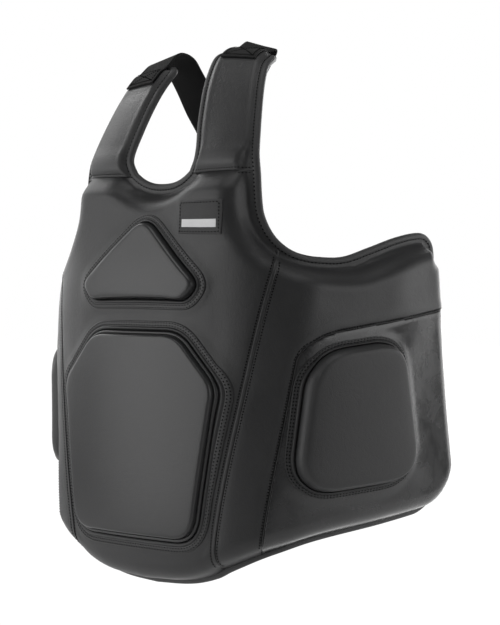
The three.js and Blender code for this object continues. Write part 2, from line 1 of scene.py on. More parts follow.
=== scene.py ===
"""Looks of a padded belly pad: sewn covers, raised pads, edge tapes, webbing and thread.

Every sewn piece is cut flat in one pattern, across from the front centre and along from the hem, in
millimetres, and then wrapped round the torso that the solids are built on.
"""

import logging
import math
from dataclasses import dataclass, field, replace
from enum import Enum
from typing import Callable, Sequence

import bmesh
import bpy
import numpy as np
from mathutils import Matrix, Vector


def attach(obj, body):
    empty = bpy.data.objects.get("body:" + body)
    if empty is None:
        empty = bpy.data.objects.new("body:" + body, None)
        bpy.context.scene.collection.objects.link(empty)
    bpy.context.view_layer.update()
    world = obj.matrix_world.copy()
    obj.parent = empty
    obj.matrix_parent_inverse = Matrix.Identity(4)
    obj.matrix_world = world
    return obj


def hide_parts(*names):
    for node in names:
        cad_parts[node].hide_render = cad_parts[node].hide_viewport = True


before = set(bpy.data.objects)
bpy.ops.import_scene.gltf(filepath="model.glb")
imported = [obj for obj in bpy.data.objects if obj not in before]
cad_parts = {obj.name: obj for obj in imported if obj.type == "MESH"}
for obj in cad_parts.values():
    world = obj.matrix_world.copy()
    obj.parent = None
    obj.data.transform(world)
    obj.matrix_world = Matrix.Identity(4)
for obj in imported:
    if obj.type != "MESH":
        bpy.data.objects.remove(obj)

LOG = logging.getLogger("belly_pad")
MM = 0.001
Array = np.ndarray
BMesh = bmesh.types.BMesh
Material = bpy.types.Material
Piece = bpy.types.Object
Pair = tuple[float, float]
Triple = tuple[float, float, float]
Places = tuple[Array, Array]
MIRROR = np.array([-1, 1])
SIDES = (("left", 1), ("right", -1))
CHUNK = 4000


def ease(x: Array, low: float, high: float) -> Array:
    """Smooth step from 0 at low to 1 at high."""
    t = np.clip((np.asarray(x, float) - low) / (high - low), 0.0, 1.0)
    return t * t * (3.0 - 2.0 * t)


def swell(t: Array) -> Array:
    """Quarter-round rise of a padded edge, 0 at its foot and 1 at its full depth."""
    x = 1.0 - np.clip(t, 0.0, 1.0)
    return np.sqrt(1.0 - x * x)


def notch(distance: Array, width: float) -> Array:
    """A soft dent, 1 on its line and fading out over its width."""
    return np.exp(-np.square(np.asarray(distance, float) / width))


def joined(*parts: Places) -> Array:
    """One flat line through places given as across and along."""
    return np.concatenate([np.stack(part, -1) for part in parts])


def mirrored_line(line: Array) -> Array:
    """A flat line on the other side of the front centre, run the other way."""
    return (line * MIRROR)[::-1]


class Table:
    """Values over places, smooth between the rows."""

    def __init__(self, rows: Sequence[Pair]) -> None:
        """Keeps the rows and works out the slope at each of them.

        Args:
            rows: Pairs of a place and its value, in rising order of place.
        """
        self.places, self.values = (np.array(column, float) for column in zip(*rows))
        order = np.arange(len(self.places))
        low, high = np.maximum(order - 1, 0), np.minimum(order + 1, order[-1])
        self.slopes = (self.values[high] - self.values[low]) / (self.places[high] - self.places[low])

    def __call__(self, place: Array) -> Array:
        """Value at each place.

        Args:
            place: Places to read, held to the first and last row.

        Returns:
            The values, in the same shape.
        """
        at = np.clip(np.asarray(place, float), self.places[0], self.places[-1])
        row = np.clip(np.searchsorted(self.places, at) - 1, 0, len(self.places) - 2)
        span = self.places[row + 1] - self.places[row]
        t = (at - self.places[row]) / span
        return ((2 * t**3 - 3 * t**2 + 1) * self.values[row]
                + (t**3 - 2 * t**2 + t) * span * self.slopes[row]
                + (3 * t**2 - 2 * t**3) * self.values[row + 1]
                + (t**3 - t**2) * span * self.slopes[row + 1])


# rows of the centre line of the lining: along, back, up, spread, inset, hollow
SPINE = (
    (-60, -104, -60, 0.97, 0, 0),
    (0, -120, 0, 0.97, 0, 0),
    (30, -127, 30, 0.98, 0, 0),
    (70, -130, 70, 0.985, 0, 0),
    (130, -130, 130, 1.0, 0, 0),
    (250, -126, 250, 1.02, 0, 0),
    (360, -122, 360, 1.03, 0, 2),
    (440, -120, 440, 1.03, 0, 11),
    (500, -118, 500, 1.015, 0, 10),
    (530, -114, 530, 1.0, 1, 5),
    (607, -84, 601, 1.0, 13, 0),
    (656, -56, 641, 1.0, 20, 0),
    (690, -27.5, 656.5, 1.0, 25, 0),
    (722, 4, 660, 1.0, 29, 0),
)


@dataclass
class Torso:
    """The body form that the lining lies on, in millimetres.

    Attributes:
        arcs: Radius and end angle in degrees of each arc of the plan, from the front centre.
        bend: Where along the pattern the form turns over the shoulder.
        inset_reach: Where across the shoulder inset sets in.
        hollow_reach: Where across the chest hollow fades out.
        rest: Back and up of the shoulder rest, the origin of the part.
    """

    arcs: tuple[Pair, ...] = ((650.0, 10.4), (78.0, 67.0), (560.0, 180.0))
    bend: Pair = (470.0, 600.0)
    inset_reach: Pair = (5.0, 42.0)
    hollow_reach: float = 120.0
    rest: Pair = (-13.0, 663.0)
    columns: dict[str, Table] = field(default_factory=dict)

    def __post_init__(self) -> None:
        """Reads the centre line into one table per column."""
        for i, name in enumerate(("back", "up", "spread", "inset", "hollow"), start=1):
            self.columns[name] = Table([(row[0], row[i]) for row in SPINE])

    def plan(self, across: Array) -> Places:
        """Side and back of the plan, by the length walked from the front centre.

        Args:
            across: Lengths walked, below zero on the wearer's right.

        Returns:
            The sides and the backs.
        """
        left, turn = np.abs(across), np.zeros_like(across)
        side, back = np.zeros_like(across), np.zeros_like(across)
        for radius, end in self.arcs:
            reached = np.minimum(turn + left / radius, math.radians(end))
            side = side + radius * (np.sin(reached) - np.sin(turn))
            back = back + radius * (np.cos(turn) - np.cos(reached))
            left = left - radius * (reached - turn)
            turn = reached
        return np.sign(across) * side, back

    def lining(self, across: Array, along: Array) -> Array:
        """Points of the face that lies against the body.

        Args:
            across: Places across.
            along: Places along.

        Returns:
            Rows of side, back and up.
        """
        read = self.columns
        side, back = self.plan(across)
        spread = read["spread"](along)
        bend = ease(along, *self.bend)
        run = read["back"](along + 1) - read["back"](along - 1)
        rise = read["up"](along + 1) - read["up"](along - 1)
        size = np.hypot(run, rise)
        depth = back * spread
        hollow = read["hollow"](along) * (1 - ease(np.abs(across), 0, self.hollow_reach))
        inset = read["inset"](along) * ease(np.abs(across), *self.inset_reach)
        return np.stack([
            side * spread - np.sign(across) * inset,
            read["back"](along) + hollow + depth * (1 + bend * (rise / size - 1)),
            read["up"](along) - depth * bend * run / size,
        ], axis=-1)

    def normal(self, across: Array, along: Array, step: float = 0.5) -> Array:
        """Outward directions square to the lining.

        Args:
            across: Places across.
            along: Places along.
            step: How far apart the lining is read.

        Returns:
            Rows of unit directions.
        """
        over = self.lining(across + step, along) - self.lining(across - step, along)
        up = self.lining(across, along + step) - self.lining(across, along - step)
        square = np.cross(over, up)
        return square / np.linalg.norm(square, axis=-1, keepdims=True)

    def wrap(self, flat: Array) -> Array:
        """Points of the part, in metres, for flat rows of across, along and height over the lining.

        Args:
            flat: The flat rows.

        Returns:
            Rows of points in the part's frame.
        """
        across, along, height = flat.T
        points = self.lining(across, along) + self.normal(across, along) * height[:, None]
        return self.placed(points)

    def placed(self, points: Array) -> Array:
        """Millimetre points of the torso moved to the part's frame, in metres."""
        return (points - np.array([0.0, *self.rest])) * MM


@dataclass
class Pattern:
    """Outline and padding depth of the sewn body, in millimetres on the flat pattern."""

    # the flat border: thickness and width, lead of the padding at the rolled low edges, run of its rise
    flange: float = 7.0
    flange_width: float = 12.0
    low_lead: float = 8.5
    rise: float = 23.0
    # depth of the padding over the border, and where it changes
    body_fill: float = 31.0
    chest_fill: float = 26.0
    chest_fade: Pair = (330.0, 470.0)
    wing_fill: Pair = (0.0, 10.0)
    wing_rise: Pair = (140.0, 360.0)
    wing_fade: float = 40.0
    wing_thin: Pair = (290.0, 385.0)
    # the straps: their root's padding, how much thinner they get, their border, root, end and seam
    strap_fill: float = 11.0
    strap_thin: float = 6.0
    strap_fade: Pair = (478.0, 505.0)
    strap_flange: float = 5.0
    strap_rise: float = 7.5
    strap_root: Pair = (505.0, 548.0)
    strap_root_inset: float = 9.0
    strap_fall: Pair = (0.9, 1.0)
    strap_seam: float = 505.0
    strap_lap: float = 0.8
    strap_corner: float = 14.0
    # depth and width of the sewn dents, and where the strap's dent and a pad's well set in
    seam_dents: tuple[Pair, ...] = ((1.6, 9.0), (0.8, 2.4))
    cover_dent: Pair = (1.2, 2.6)
    strap_dent: Pair = (6.5, 7.0)
    strap_dent_reach: Pair = (46.0, 58.0)
    well_edge: Pair = (8.0, 11.5)
    # powers that keep the seam allowance of a cut close to its seam
    join_powers: tuple[int, int] = (30, 40)
    # the outline
    seam_low: float = 28.0
    seam_top: float = 413.0
    neck_bottom: float = 488.0
    neck_half: float = 51.0
    neck_power: float = 2.5
    rear: Pair = (440.0, 391.0)
    rear_bow: float = 8.0
    rear_corner: Pair = (55.0, 22.0)
    hem: Table = Table(((0, 2), (60, 6), (100, 16), (125, 28), (170, 47), (230, 62), (330, 75), (430, 87)))
    wing_top: Table = Table(((168, 413), (177, 406), (190, 400), (212, 396), (250, 396), (290, 408),
                             (330, 420.5), (366, 427), (430, 427)))
    seam: Table = Table(((0, 113), (120, 126), (221, 139), (338, 155), (413, 168)))
    armhole: Table = Table(((413, 168), (422, 160), (437, 151.5), (457, 145.5), (505, 143), (560, 140),
                            (607, 136), (656, 129.5), (690, 125), (722, 114)))
    neck_side: Table = Table(((505, 51), (520, 60), (535, 62), (560, 60.5), (607, 58.5), (656, 54),
                              (690, 45.5), (722, 43)))
    cover_edge: Table = Table(((-60, 153), (73, 162), (191, 174), (279, 182)))
    cover_top: Table = Table(((182, 279), (186, 290), (194, 299), (206, 306), (226, 312), (300, 324),
                              (470, 350)))
    cover_corner: Pair = (182.0, 279.0)
    cover_ends: Pair = (440.0, -20.0)
    wells: list["PadOutline"] = field(default_factory=list)

    def __post_init__(self) -> None:
        """Works out the seam foot, the start of the armhole and the free edges."""
        self.seam_foot = float(self.hem(self.seam(self.seam_low)))
        self.armhole_start = (self.seam_top - self.seam_foot) / (self.strap_seam - self.seam_foot)
        self.neck_end = self.neck_half / float(self.front_side(np.array(self.strap_seam)))
        up, one = np.linspace(0, 1, 41), np.ones(41)
        far = np.linspace(0, 1, 121)
        outer = [
            self.front_place(up, 0 * up),
            self.wing_place(far, 0 * far),
            self.wing_place(one, up),
            self.wing_place(1 - far, np.ones(121)),
            self.front_place(one, self.armhole_start + (1 - self.armhole_start) * up),
        ]
        scoop = self.front_place(up * self.neck_end, one)
        lines = (joined(*outer[:3]), joined(*outer[3:]), joined(scoop))
        pieces = [np.concatenate([line[:-1], line[1:]], axis=1) for line in lines]
        self.low_edges, self.high_edges = pieces[0], np.concatenate(pieces[1:])
        front = np.linspace(self.cover_ends[1], self.cover_corner[1], 60)
        top = np.linspace(self.cover_corner[0], self.cover_ends[0], 90)
        self.cover_line = joined((self.cover_edge(front), front), (top, self.cover_top(top)))

    def front_side(self, along: Array) -> Array:
        """Across of the side seam, and of the armhole above it."""
        return np.where(along < self.seam_top, self.seam(along), self.armhole(along))

    def front_cut(self, s: Array, t: Array, join: float) -> Places:
        """Place on the front panel's cut, which reaches a little past its seams.

        Args:
            s: Shares across.
            t: Shares along.
            join: Seam allowance.

        Returns:
            The places across and along.
        """
        across, along = self.front_place(s, t)
        side, top = self.join_powers
        return across + join * np.sign(s) * np.abs(s)**side, along + join * t**top

    def wing_cut(self, s: Array, t: Array, join: float) -> Places:
        """Place on a wing's cut, which reaches a little past the side seam."""
        across, along = self.wing_place(s, t)
        return across - join * (1 - s)**self.join_powers[0], along

    def front_place(self, s: Array, t: Array) -> Places:
        """Pattern place on the front panel, s from -1 to 1 across and t from 0 to 1 up.

        Args:
            s: Shares across.
            t: Shares along.

        Returns:
            The places across and along.
        """
        foot = self.hem(np.abs(s) * self.front_side(np.array(self.seam_foot)))
        reach = np.minimum(1.0, np.abs(s) * self.front_side(np.array(self.strap_seam)) / self.neck_half)
        top = self.neck_bottom + (self.strap_seam - self.neck_bottom) * reach**self.neck_power
        side = self.front_side(self.seam_foot + (self.strap_seam - self.seam_foot) * t)
        return s * side, foot + (top - foot) * t

    def wing_place(self, s: Array, t: Array) -> Places:
        """Pattern place on a wing, s from the side seam to the rear edge and t from the hem up.

        Args:
            s: Shares across.
            t: Shares along.

        Returns:
            The places across and along.
        """
        def cut(across: Array, end: float, radius: float) -> Array:
            """How far a rounded corner cuts into the height."""
            into = np.clip(across - end + radius, 0, radius)
            return radius - np.sqrt(radius * radius - into * into)

        start_low = float(self.front_side(np.array(self.seam_foot)))
        start_high = float(self.front_side(np.array(self.seam_top)))
        low = start_low + (self.rear[0] - start_low) * s
        high = start_high + (self.rear[1] - start_high) * s
        foot = np.where(s == 0, self.seam_foot, self.hem(low))
        foot = foot + cut(low, self.rear[0], self.rear_corner[0])
        top = self.wing_top(high) - cut(high, self.rear[1], self.rear_corner[1])
        start = self.front_side(self.seam_foot + (self.seam_top - 1e-6 - self.seam_foot) * t)
        end = self.rear[0] + (self.rear[1] - self.rear[0]) * t - self.rear_bow * np.sin(math.pi * t)
        return start + (end - start) * s, foot + (top - foot) * t

    def strap_place(self, s: Array, t: Array, end: float) -> Places:
        """Pattern place on a strap, s from the neck edge to the armhole edge and t up to its end.

        Args:
            s: Shares across.
            t: Shares along.
            end: Where the strap ends along the pattern.

        Returns:
            The places across and along.
        """
        top_width = float(self.armhole(end) - self.neck_side(end))
        into = np.clip(self.strap_corner - np.minimum(s, 1 - s) * top_width, 0, self.strap_corner)
        cut = self.strap_corner - np.sqrt(self.strap_corner**2 - into**2)
        along = self.strap_seam - self.strap_lap + (end - cut - self.strap_seam + self.strap_lap) * t
        inner, outer = self.neck_side(along), self.armhole(along)
        return inner + (outer - inner) * s, along

    def edge_distance(self, across: Array, along: Array) -> Array:
        """Distance of each place to the nearest free edge, with a lead at the rolled low edges.

        Args:
            across: Places across.
            along: Places along.

        Returns:
            One distance per place.
        """
        points = np.stack([np.abs(across), along], -1)
        low = line_distance(points, self.low_edges[:, :2], self.low_edges[:, 2:])
        high = line_distance(points, self.high_edges[:, :2], self.high_edges[:, 2:])
        return np.minimum(low + self.low_lead, high)

    def cover_distance(self, across: Array, along: Array) -> Array:
        """Distance of each pattern place to the seam of the side cover."""
        points = np.stack([np.abs(across), along], -1)
        return line_distance(points, self.cover_line[:-1], self.cover_line[1:])

    def in_cover(self, across: Array, along: Array) -> Array:
        """True where a place belongs to the side cover."""
        reach = np.abs(across)
        return (reach > self.cover_edge(along)) & (along < self.cover_top(reach))

    def body_height(self, across: Array, along: Array) -> Array:
        """Depth of the padded body over the lining, with its sewn lines drawn in.

        Args:
            across: Places across.
            along: Places along.

        Returns:
            One depth per place.
        """
        reach = np.abs(across)
        chest = self.body_fill + (self.chest_fill - self.body_fill) * ease(along, *self.chest_fade)
        fill = chest + (self.strap_fill - chest) * ease(along, *self.strap_fade)
        from_seam = reach - self.front_side(np.minimum(along, self.seam_top))
        low, high = self.wing_fill
        bulge = low + (high - low) * ease(along, *self.wing_rise)
        wing = bulge * ease(from_seam, 0, self.wing_fade) * (1 - ease(reach, *self.wing_thin))
        padded = swell((self.edge_distance(across, along) - self.flange_width) / self.rise)
        height = self.flange + (fill + wing) * padded
        below = ease(-along, -self.seam_top, -self.seam_top + 2 * self.rise)
        height = height - below * sum(depth * notch(from_seam, width) for depth, width in self.seam_dents)
        depth, width = self.cover_dent
        height = height - depth * notch(self.cover_distance(across, along), width) * padded
        depth, width = self.strap_dent
        dent = depth * padded * notch(self.strap_seam - along, width)
        height = height - dent * ease(reach, *self.strap_dent_reach)
        for well in self.wells:
            height = height - well.sunk * ease(well.inset_at(across, along), *self.well_edge)
        return height

    def strap_height(self, across: Array, along: Array, end: float) -> Array:
        """Depth of a padded strap over the lining.

        Args:
            across: Places across.
            along: Places along.
            end: Where the strap ends along the pattern.

        Returns:
            One depth per place.
        """
        reach = np.abs(across)
        root = self.strap_root_inset * (1 - ease(along, *self.strap_root))
        inside = np.minimum(reach - self.neck_side(along), self.armhole(along) - reach - root)
        slope, start = self.strap_fall
        inside = np.minimum(inside, (end - along) * slope + start)
        padded = swell((inside - self.strap_flange) / self.strap_rise)
        fill = self.strap_fill - self.strap_thin * ease(along, *self.strap_root)
        depth, width = self.strap_dent
        return self.flange + fill * padded - depth * padded * notch(along - self.strap_seam, width)


def line_distance(points: Array, start: Array, end: Array) -> Array:
    """Distance of flat points to the nearest of many line pieces.

    Args:
        points: Rows of two numbers.
        start: First ends of the line pieces.
        end: Second ends of the line pieces.

    Returns:
        One distance per point.
    """
    run = end - start
    size = np.maximum(np.sum(run * run, axis=1), 1e-9)
    found = np.empty(len(points))
    for i in range(0, len(points), CHUNK):
        part = points[i:i + CHUNK, None, :] - start[None]
        t = np.clip(np.sum(part * run[None], axis=2) / size, 0, 1)
        gap = part - t[..., None] * run[None]
        found[i:i + CHUNK] = np.sqrt(np.min(np.sum(gap * gap, axis=2), axis=1))
    return found


def resample(line: Array, step: float, closed: bool = False) -> Array:
    """Evenly spaced points along a line of any dimension.

    Args:
        line: Rows of points.
        step: Wanted spacing.
        closed: True if the line goes back to its first point.

    Returns:
        Rows of points, without the closing one.
    """
    if closed:
        line = np.concatenate([line, line[:1]])
    size = np.linalg.norm(np.diff(line, axis=0), axis=1)
    keep = np.concatenate([[True], size > 1e-6])
    line = line[keep]
    walked = np.concatenate([[0.0], np.cumsum(np.linalg.norm(np.diff(line, axis=0), axis=1))])
    count = max(2, int(round(walked[-1] / step)))
    at = np.linspace(0, walked[-1], count + 1)
    points = np.stack([np.interp(at, walked, line[:, k]) for k in range(line.shape[1])], -1)
    return points[:-1] if closed else points


def sideways(line: Array, closed: bool = False) -> Array:
    """Unit directions to the right of a flat line, at each of its points.

    Args:
        line: Rows of points.
        closed: True if the line goes back to its first point.

    Returns:
        Rows of directions.
    """
    if closed:
        run = np.roll(line, -1, axis=0) - np.roll(line, 1, axis=0)
    else:
        run = np.gradient(line, axis=0)
    run = run / np.linalg.norm(run, axis=1, keepdims=True)
    return np.stack([run[:, 1], -run[:, 0]], -1)


@dataclass
class PadOutline:
    """Outline of a raised pad: the outer edge of its welt, with rounded corners.

    Attributes:
        corners: Across, along and radius of each corner.
        columns: Points round the outline.
        sunk: How deep the body lies under the pad.
        square: How far an inset goes square to the outline before it heads for the centre.
        narrow: Width of the welt as a share of the usual one.
    """

    CORNER_POINTS = 24
    LEAST_SLANT = 0.55
    FURTHEST = 0.9

    corners: tuple[Triple, ...]
    columns: int = 252
    sunk: float = 0.8
    square: float = 9.0
    narrow: float = 1.0

    def __post_init__(self) -> None:
        """Rounds the corners and spaces the points evenly."""
        points = np.array(self.corners, float)
        path = []
        for i, (x, y, radius) in enumerate(points):
            at = np.array([x, y])
            before, after = points[i - 1, :2] - at, points[(i + 1) % len(points), :2] - at
            before, after = before / np.linalg.norm(before), after / np.linalg.norm(after)
            cut = radius / math.tan(math.acos(float(before @ after)) / 2)
            t = np.linspace(0, 1, self.CORNER_POINTS)[:, None]
            enter, leave = at + before * cut, at + after * cut
            path.append((1 - t)**2 * enter + 2 * t * (1 - t) * at + t**2 * leave)
        line = np.concatenate(path)
        round_trip = np.vstack([line, line[:1]])
        size = float(np.sum(np.linalg.norm(np.diff(round_trip, axis=0), axis=1)))
        self.line = resample(line, size / self.columns, closed=True)[:self.columns]
        self.centre = self.line.mean(axis=0)
        inward = -sideways(self.line, closed=True)
        toward = self.centre - self.line
        self.inward = inward * np.sign(np.sum(inward * toward, axis=1))[:, None]

    def at(self, inset: float, share: float = 0.0) -> Array:
        """Outline moved inwards by an inset, then by a share of the way to the centre.

        Args:
            inset: The inset in millimetres.
            share: The share of the way.

        Returns:
            Rows of points.
        """
        inset = inset * self.narrow
        near = min(inset, self.square)
        moved = self.line + self.inward * near
        ray = self.centre - moved
        size = np.linalg.norm(ray, axis=1, keepdims=True)
        ray = ray / size
        slant = np.maximum(np.sum(ray * self.inward, axis=1, keepdims=True), self.LEAST_SLANT)
        moved = moved + ray * np.minimum((inset - near) / slant, size * self.FURTHEST)
        return moved + (self.centre - moved) * share

    def inset_at(self, across: Array, along: Array) -> Array:
        """How far inside the outline each place lies, below zero outside it.

        Args:
            across: Places across.
            along: Places along.

        Returns:
            One distance per place.
        """
        points = np.stack([across, along], -1)
        distance = line_distance(points, self.line, np.roll(self.line, -1, axis=0))
        x, y = self.line.T
        x2, y2 = np.roll(x, -1), np.roll(y, -1)
        px, py = points[:, :1], points[:, 1:]
        crosses = ((y > py) != (y2 > py)) & (px < (x2 - x) * (py - y) / (y2 - y + 1e-12) + x)
        return np.where(np.sum(crosses, axis=1) % 2 == 1, distance, -distance)

    def mirrored(self) -> "PadOutline":
        """The same outline on the other side of the front centre."""
        return replace(self, corners=tuple((-x, y, r) for x, y, r in self.corners))


TORSO = Torso()
PATTERN = Pattern()


class Base(Enum):
    """What a height on the flat pattern is measured from."""

    LINING = "lining"
    BODY = "body"
    STRAP_LEFT = "strap_left"
    STRAP_RIGHT = "strap_right"


STRAP_ENDS = {Base.STRAP_LEFT: 714.0, Base.STRAP_RIGHT: 660.0}


def wrapped(flat: Array, base: Base) -> Array:
    """Part points, in metres, of flat rows whose heights are measured from a base.

    Args:
        flat: Rows of across, along and height.
        base: What the heights are measured from.

    Returns:
        Rows of points in the part's frame.
    """
    flat = np.array(flat, float)
    if base is Base.BODY:
        flat[:, 2] += PATTERN.body_height(flat[:, 0], flat[:, 1])
    elif base in STRAP_ENDS:
        flat[:, 2] += PATTERN.strap_height(flat[:, 0], flat[:, 1], STRAP_ENDS[base])
    return TORSO.wrap(flat)


def read_verts(bm: BMesh) -> Array:
    """Rows of the vertex places of a bmesh."""
    return np.array([v.co[:] for v in bm.verts], float).reshape(-1, 3)


def write_verts(bm: BMesh, points: Array) -> None:
    """Moves the vertices of a bmesh to rows of points."""
    for vert, point in zip(bm.verts, points):
        vert.co = point


def flat_grid(columns: int, rows: int) -> tuple[BMesh, Array, Array]:
    """A flat grid to be shaped.

    Args:
        columns: Steps across.
        rows: Steps along.

    Returns:
        The bmesh, and the shares across and along of each of its vertices.
    """
    bm = bmesh.new()
    bmesh.ops.create_grid(bm, x_segments=columns, y_segments=rows, size=1.0)
    bm.verts.ensure_lookup_table()
    at = read_verts(bm)
    return bm, np.clip((at[:, 0] + 1) / 2, 0, 1), np.clip((at[:, 1] + 1) / 2, 0, 1)


def lay_uv(bm: BMesh) -> None:
    """Writes the flat place of each corner as its UV, in metres.

    Args:
        bm: The flat bmesh, in millimetres.
    """
    layer = bm.loops.layers.uv.new("UVMap")
    for face in bm.faces:
        for loop in face.loops:
            loop[layer].uv = (loop.vert.co.x * MM, loop.vert.co.y * MM)


def thicken(bm: BMesh, depth: float) -> list[bmesh.types.BMVert]:
    """Raises a walled copy of all faces along Z and gives its vertices.

    Args:
        bm: The bmesh.
        depth: How far the copy is raised.

    Returns:
        The raised vertices.
    """
    made = bmesh.ops.extrude_face_region(bm, geom=bm.faces[:])
    raised = [v for v in made["geom"] if isinstance(v, bmesh.types.BMVert)]
    bmesh.ops.translate(bm, verts=raised, vec=(0, 0, depth))
    return raised


def roll_edges(bm: BMesh, angle: float, offset: float, segments: int = 2) -> None:
    """Rounds the edges that turn by more than an angle in radians.

    Args:
        bm: The bmesh.
        angle: The angle.
        offset: Width of the rounding.
        segments: Steps of the rounding.
    """
    sharp = [e for e in bm.edges if e.calc_face_angle(0.0) > angle]
    bmesh.ops.bevel(bm, geom=sharp, offset=offset, segments=segments, profile=0.5, affect="EDGES",
                    material=-1, clamp_overlap=True)


def close_holes(bm: BMesh) -> None:
    """Fills every open rim with one face."""
    bmesh.ops.holes_fill(bm, edges=[e for e in bm.edges if e.is_boundary], sides=0)


def mesh_object(bm: BMesh, name: str, materials: Sequence[Material],
                closed: bool = True, smooth: bool = True) -> Piece:
    """Turns a finished bmesh into an object of the scene.

    Args:
        bm: The bmesh, which is freed.
        name: Name of the object.
        materials: Its materials, in slot order.
        closed: True if its normals can be turned outwards.
        smooth: True for smooth shading.

    Returns:
        The new object.
    """
    if closed:
        bmesh.ops.recalc_face_normals(bm, faces=bm.faces[:])
    for face in bm.faces:
        face.smooth = smooth
    mesh = bpy.data.meshes.new(f"{name}_sewn")
    bm.to_mesh(mesh)
    bm.free()
    obj = bpy.data.objects.new(f"{name}_sewn", mesh)
    bpy.context.scene.collection.objects.link(obj)
    for material in materials:
        mesh.materials.append(material)
    return obj


def subdivide(obj: Piece) -> None:
    """Adds a subdivision surface with the same level in view and render."""
    modifier = obj.modifiers.new("Subdivision", "SUBSURF")
    modifier.levels = modifier.render_levels = 1


def finish_piece(obj: Piece, nodes: Sequence[str] = ()) -> None:
    """Ties a piece to the part: its body and the nodes that it stands for, which it hides.

    Args:
        obj: The piece.
        nodes: Nodes that the piece stands for.
    """
    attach(obj, "root")
    if nodes:
        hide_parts(*nodes)
    LOG.info("%s: %d faces", obj.name, len(obj.data.polygons))


class Graph:
    """Adds nodes to a shader tree and wires them."""

    def __init__(self, tree: bpy.types.NodeTree) -> None:
        """Keeps the tree that nodes are added to."""
        self.tree = tree

    def add(self, kind: str, sockets: dict | None = None, **settings: object) -> bpy.types.Node:
        """Adds one node.

        Args:
            kind: Blender's name of the node type.
            sockets: Input name or number to a value or to an output that feeds it.
            settings: Attributes of the node.

        Returns:
            The new node.
        """
        node = self.tree.nodes.new(kind)
        node.location = (220 * (len(self.tree.nodes) % 6), -180 * (len(self.tree.nodes) // 6))
        for name, value in settings.items():
            setattr(node, name, value)
        for key, value in (sockets or {}).items():
            if isinstance(value, bpy.types.NodeSocket):
                self.tree.links.new(value, node.inputs[key])
            else:
                node.inputs[key].default_value = value
        return node

    def math(self, operation: str, *values: object) -> bpy.types.NodeSocket:
        """Adds a math node and gives its output."""
        return self.add("ShaderNodeMath", dict(enumerate(values)), operation=operation).outputs[0]


